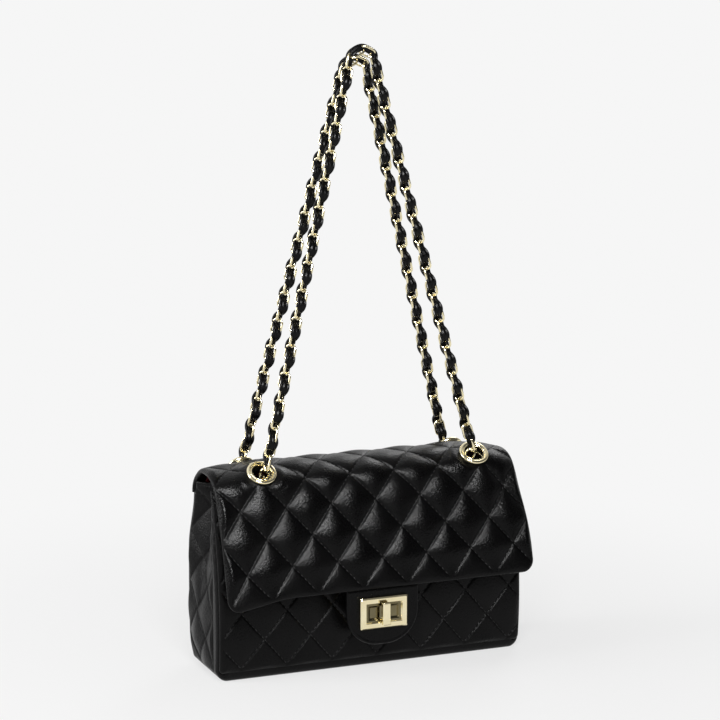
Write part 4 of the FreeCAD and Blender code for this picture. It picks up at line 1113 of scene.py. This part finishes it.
def make_tab():
    """The closure tab: a U-shaped pad with a thin rolled rim, a furrow inside it, a flat middle.

    Rim and furrow are bell curves of the distance from the edge."""
    half, low, high, radius = 29.5, 23.0, 75.0, 26.0
    x = join([-half + FINE, linspace(-24.4, 24.4, 90), (half - FINE)[::-1]])
    z = join([low + FINE, linspace(28, high, 70)])
    x, z = meshgrid(x, z)
    x = x * corner_width(half, z, low, radius) / half
    over, drop = np.abs(x) - (half - radius), z - low
    distance = radius - hypot(clip(over, 0, None), clip(radius - drop, 0, None))
    distance = clip(distance, 0, None)
    rise = (0.5 * exp(-((distance - 1.3) / 0.8) ** 2) - 0.35 * exp(-((distance - 3.0) / 0.7) ** 2))

    def surface(u, v):
        lean = clip(v - 66, 0, None) * 0.29
        return (xyz(u, TAB_FACE + lean, v), np.broadcast_to([0.0, -1.0, 0.0], u.shape + (3,)))
    points, faces, level = shell(x, z, surface, distance, rise * ease(distance / 1.2), 3.5, 1.2)
    piece = make_piece("tab_leather", [(points, faces)], "flap", BLACK,
        ("closure_tab",), rise=np.full(len(level), 0.3))


def finish_kept_nodes():
    """Materials of the pieces of the construction that stay as they are."""
    kept = {name: GOLD for name in ("lock_keeper", "lock_foot", "lock_spindle", "lock_plate",
        "lock_back_plate")}
    for name, material in {**kept, "base_board": BOARD}.items():
        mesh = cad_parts[name].data
        mesh.materials.clear()
        mesh.materials.append(material)


# stage

PALE = 0.921                  # level of the background
AMBIENT = 0.34                # level of the world's light on the object
CAMERA, TARGET, LENS = (-0.7954, -1.9809, 0.6726), (0.00168, 0.0, 0.2351), 142.13
FRONT_AIM = (-0.03, -0.04, 0.12)
# name, place, aim, width, height, power; the sheen shows only in reflections
LAMPS = (("softbox_over_front", (-0.29, -0.80, 0.78), FRONT_AIM, 0.36, 0.28, 7.0),
    ("sheen_over_front", (-0.30, -0.83, 0.805), FRONT_AIM, 0.37, 0.29, 14.0),
    ("softbox_left", (-1.5, 0.15, 0.75), (0, 0, 0.10), 0.7, 0.9, 19.0),
    ("softbox_back_right", (0.9, 1.0, 1.1), (0, 0, 0.15), 0.6, 0.6, 7.0))


def aim_at(thing, place, target):
    """Put an object at a place with its minus Z axis toward a target."""
    thing.location = place
    thing.rotation_euler = (Vector(target) - Vector(place)).to_track_quat("-Z", "Y").to_euler()


def make_floor():
    """A pale floor: the background's level to the camera and in reflections, matt elsewhere.

    Near the object part of it is matt, so that it keeps the shadow."""
    mesh = bpy.data.meshes.new("floor")
    mesh.from_pydata([(-6, -6, 0), (6, -6, 0), (6, 6, 0), (-6, 6, 0)], [], [(0, 1, 2, 3)])
    floor = add_object("floor", mesh)
    f, place = new_finish("pale_floor")
    ray = f.node("ShaderNodeLightPath", output="Is Camera Ray")
    seen = ray.most(f.other(ray, "Is Glossy Ray")).most(f.other(ray, "Is Transmission Ray"))
    away = f.node("ShaderNodeVectorMath", {"operation": "LENGTH"}, {0: place}, "Value")
    pale = f.node("ShaderNodeEmission", None, {"Color": (PALE, PALE, PALE, 1)})
    matt = f.node("ShaderNodeBsdfDiffuse", None, {"Color": (0.70, 0.70, 0.70, 1)})
    shader = f.node("ShaderNodeMixShader", None, {
        0: seen * f.ramp(away, 0.12, 0.55, 0.72, 1.0), 1: matt, 2: pale})
    f.node("ShaderNodeOutputMaterial", None, {"Surface": shader})
    mesh.materials.append(f.owner)


def make_world():
    """A pale world: darker in reflections from the front, lighter from behind."""
    world = bpy.data.worlds.new("studio")
    bpy.context.scene.world = world
    w = Finish(world)
    ray = w.node("ShaderNodeLightPath", output="Is Camera Ray")
    seen = ray.most(w.other(ray, "Is Transmission Ray"))
    glossy = w.other(ray, "Is Glossy Ray")
    way = w.node("ShaderNodeTexCoord", output="Generated")
    front = w.node("ShaderNodeVectorMath", {"operation": "DOT_PRODUCT"},
        {0: way, 1: (-0.30, 0.95, 0.0)}, "Value")
    room = w.ramp(front, -0.55, 0.5, 0.10, 0.92)
    level = seen * PALE + (1 - seen) * (glossy * room + (1 - glossy) * AMBIENT)
    back = w.node("ShaderNodeBackground", None, {"Color": (1, 1, 1, 1), "Strength": level})
    w.node("ShaderNodeOutputWorld", None, {"Surface": back})


def make_stage():
    """Floor, world, lamps and camera."""
    make_floor()
    make_world()
    for name, place, aim, wide, high, power in LAMPS:
        lamp = bpy.data.lights.new(name, "AREA")
        lamp.shape, lamp.size, lamp.size_y, lamp.energy = "RECTANGLE", wide, high, power
        box = add_object(name, lamp)
        aim_at(box, place, aim)
        box.visible_diffuse = not name.startswith("sheen")
    eye = bpy.data.cameras.new("camera")
    eye.lens, eye.sensor_width, eye.clip_start, eye.clip_end = LENS, 36.0, 0.01, 100.0
    camera = add_object("camera", eye)
    aim_at(camera, CAMERA, TARGET)
    bpy.context.scene.camera = camera
    bpy.context.scene.view_settings.view_transform = "Standard"


make_stage()
make_flap()
make_flap_lining()
make_hinge_strip()
make_panel("front", front_face, -1, "front_panel", FRONT_QUILT, SIDE_TOP)
make_panel("back", back_face, 1, "back_panel", BACK_QUILT, MOUTH)
make_band()
make_linings()
make_pocket()
make_loop("front", loop_frame(FRONT_SEAT, FRONT_LEAN, -1, -7.0), "front_strap")
make_loop("rear", loop_frame(REAR_SEAT, REAR_LEAN, 1, 7.0), "rear_strap")
make_inner_chains()
for side, sign in (("left", -1), ("right", 1)):
    make_eyelet("front", side, FRONT_SEAT, FRONT_LEAN, -1, sign)
    make_eyelet("rear", side, REAR_SEAT, REAR_LEAN, 1, sign)
make_lock()
make_tab()
finish_kept_nodes()
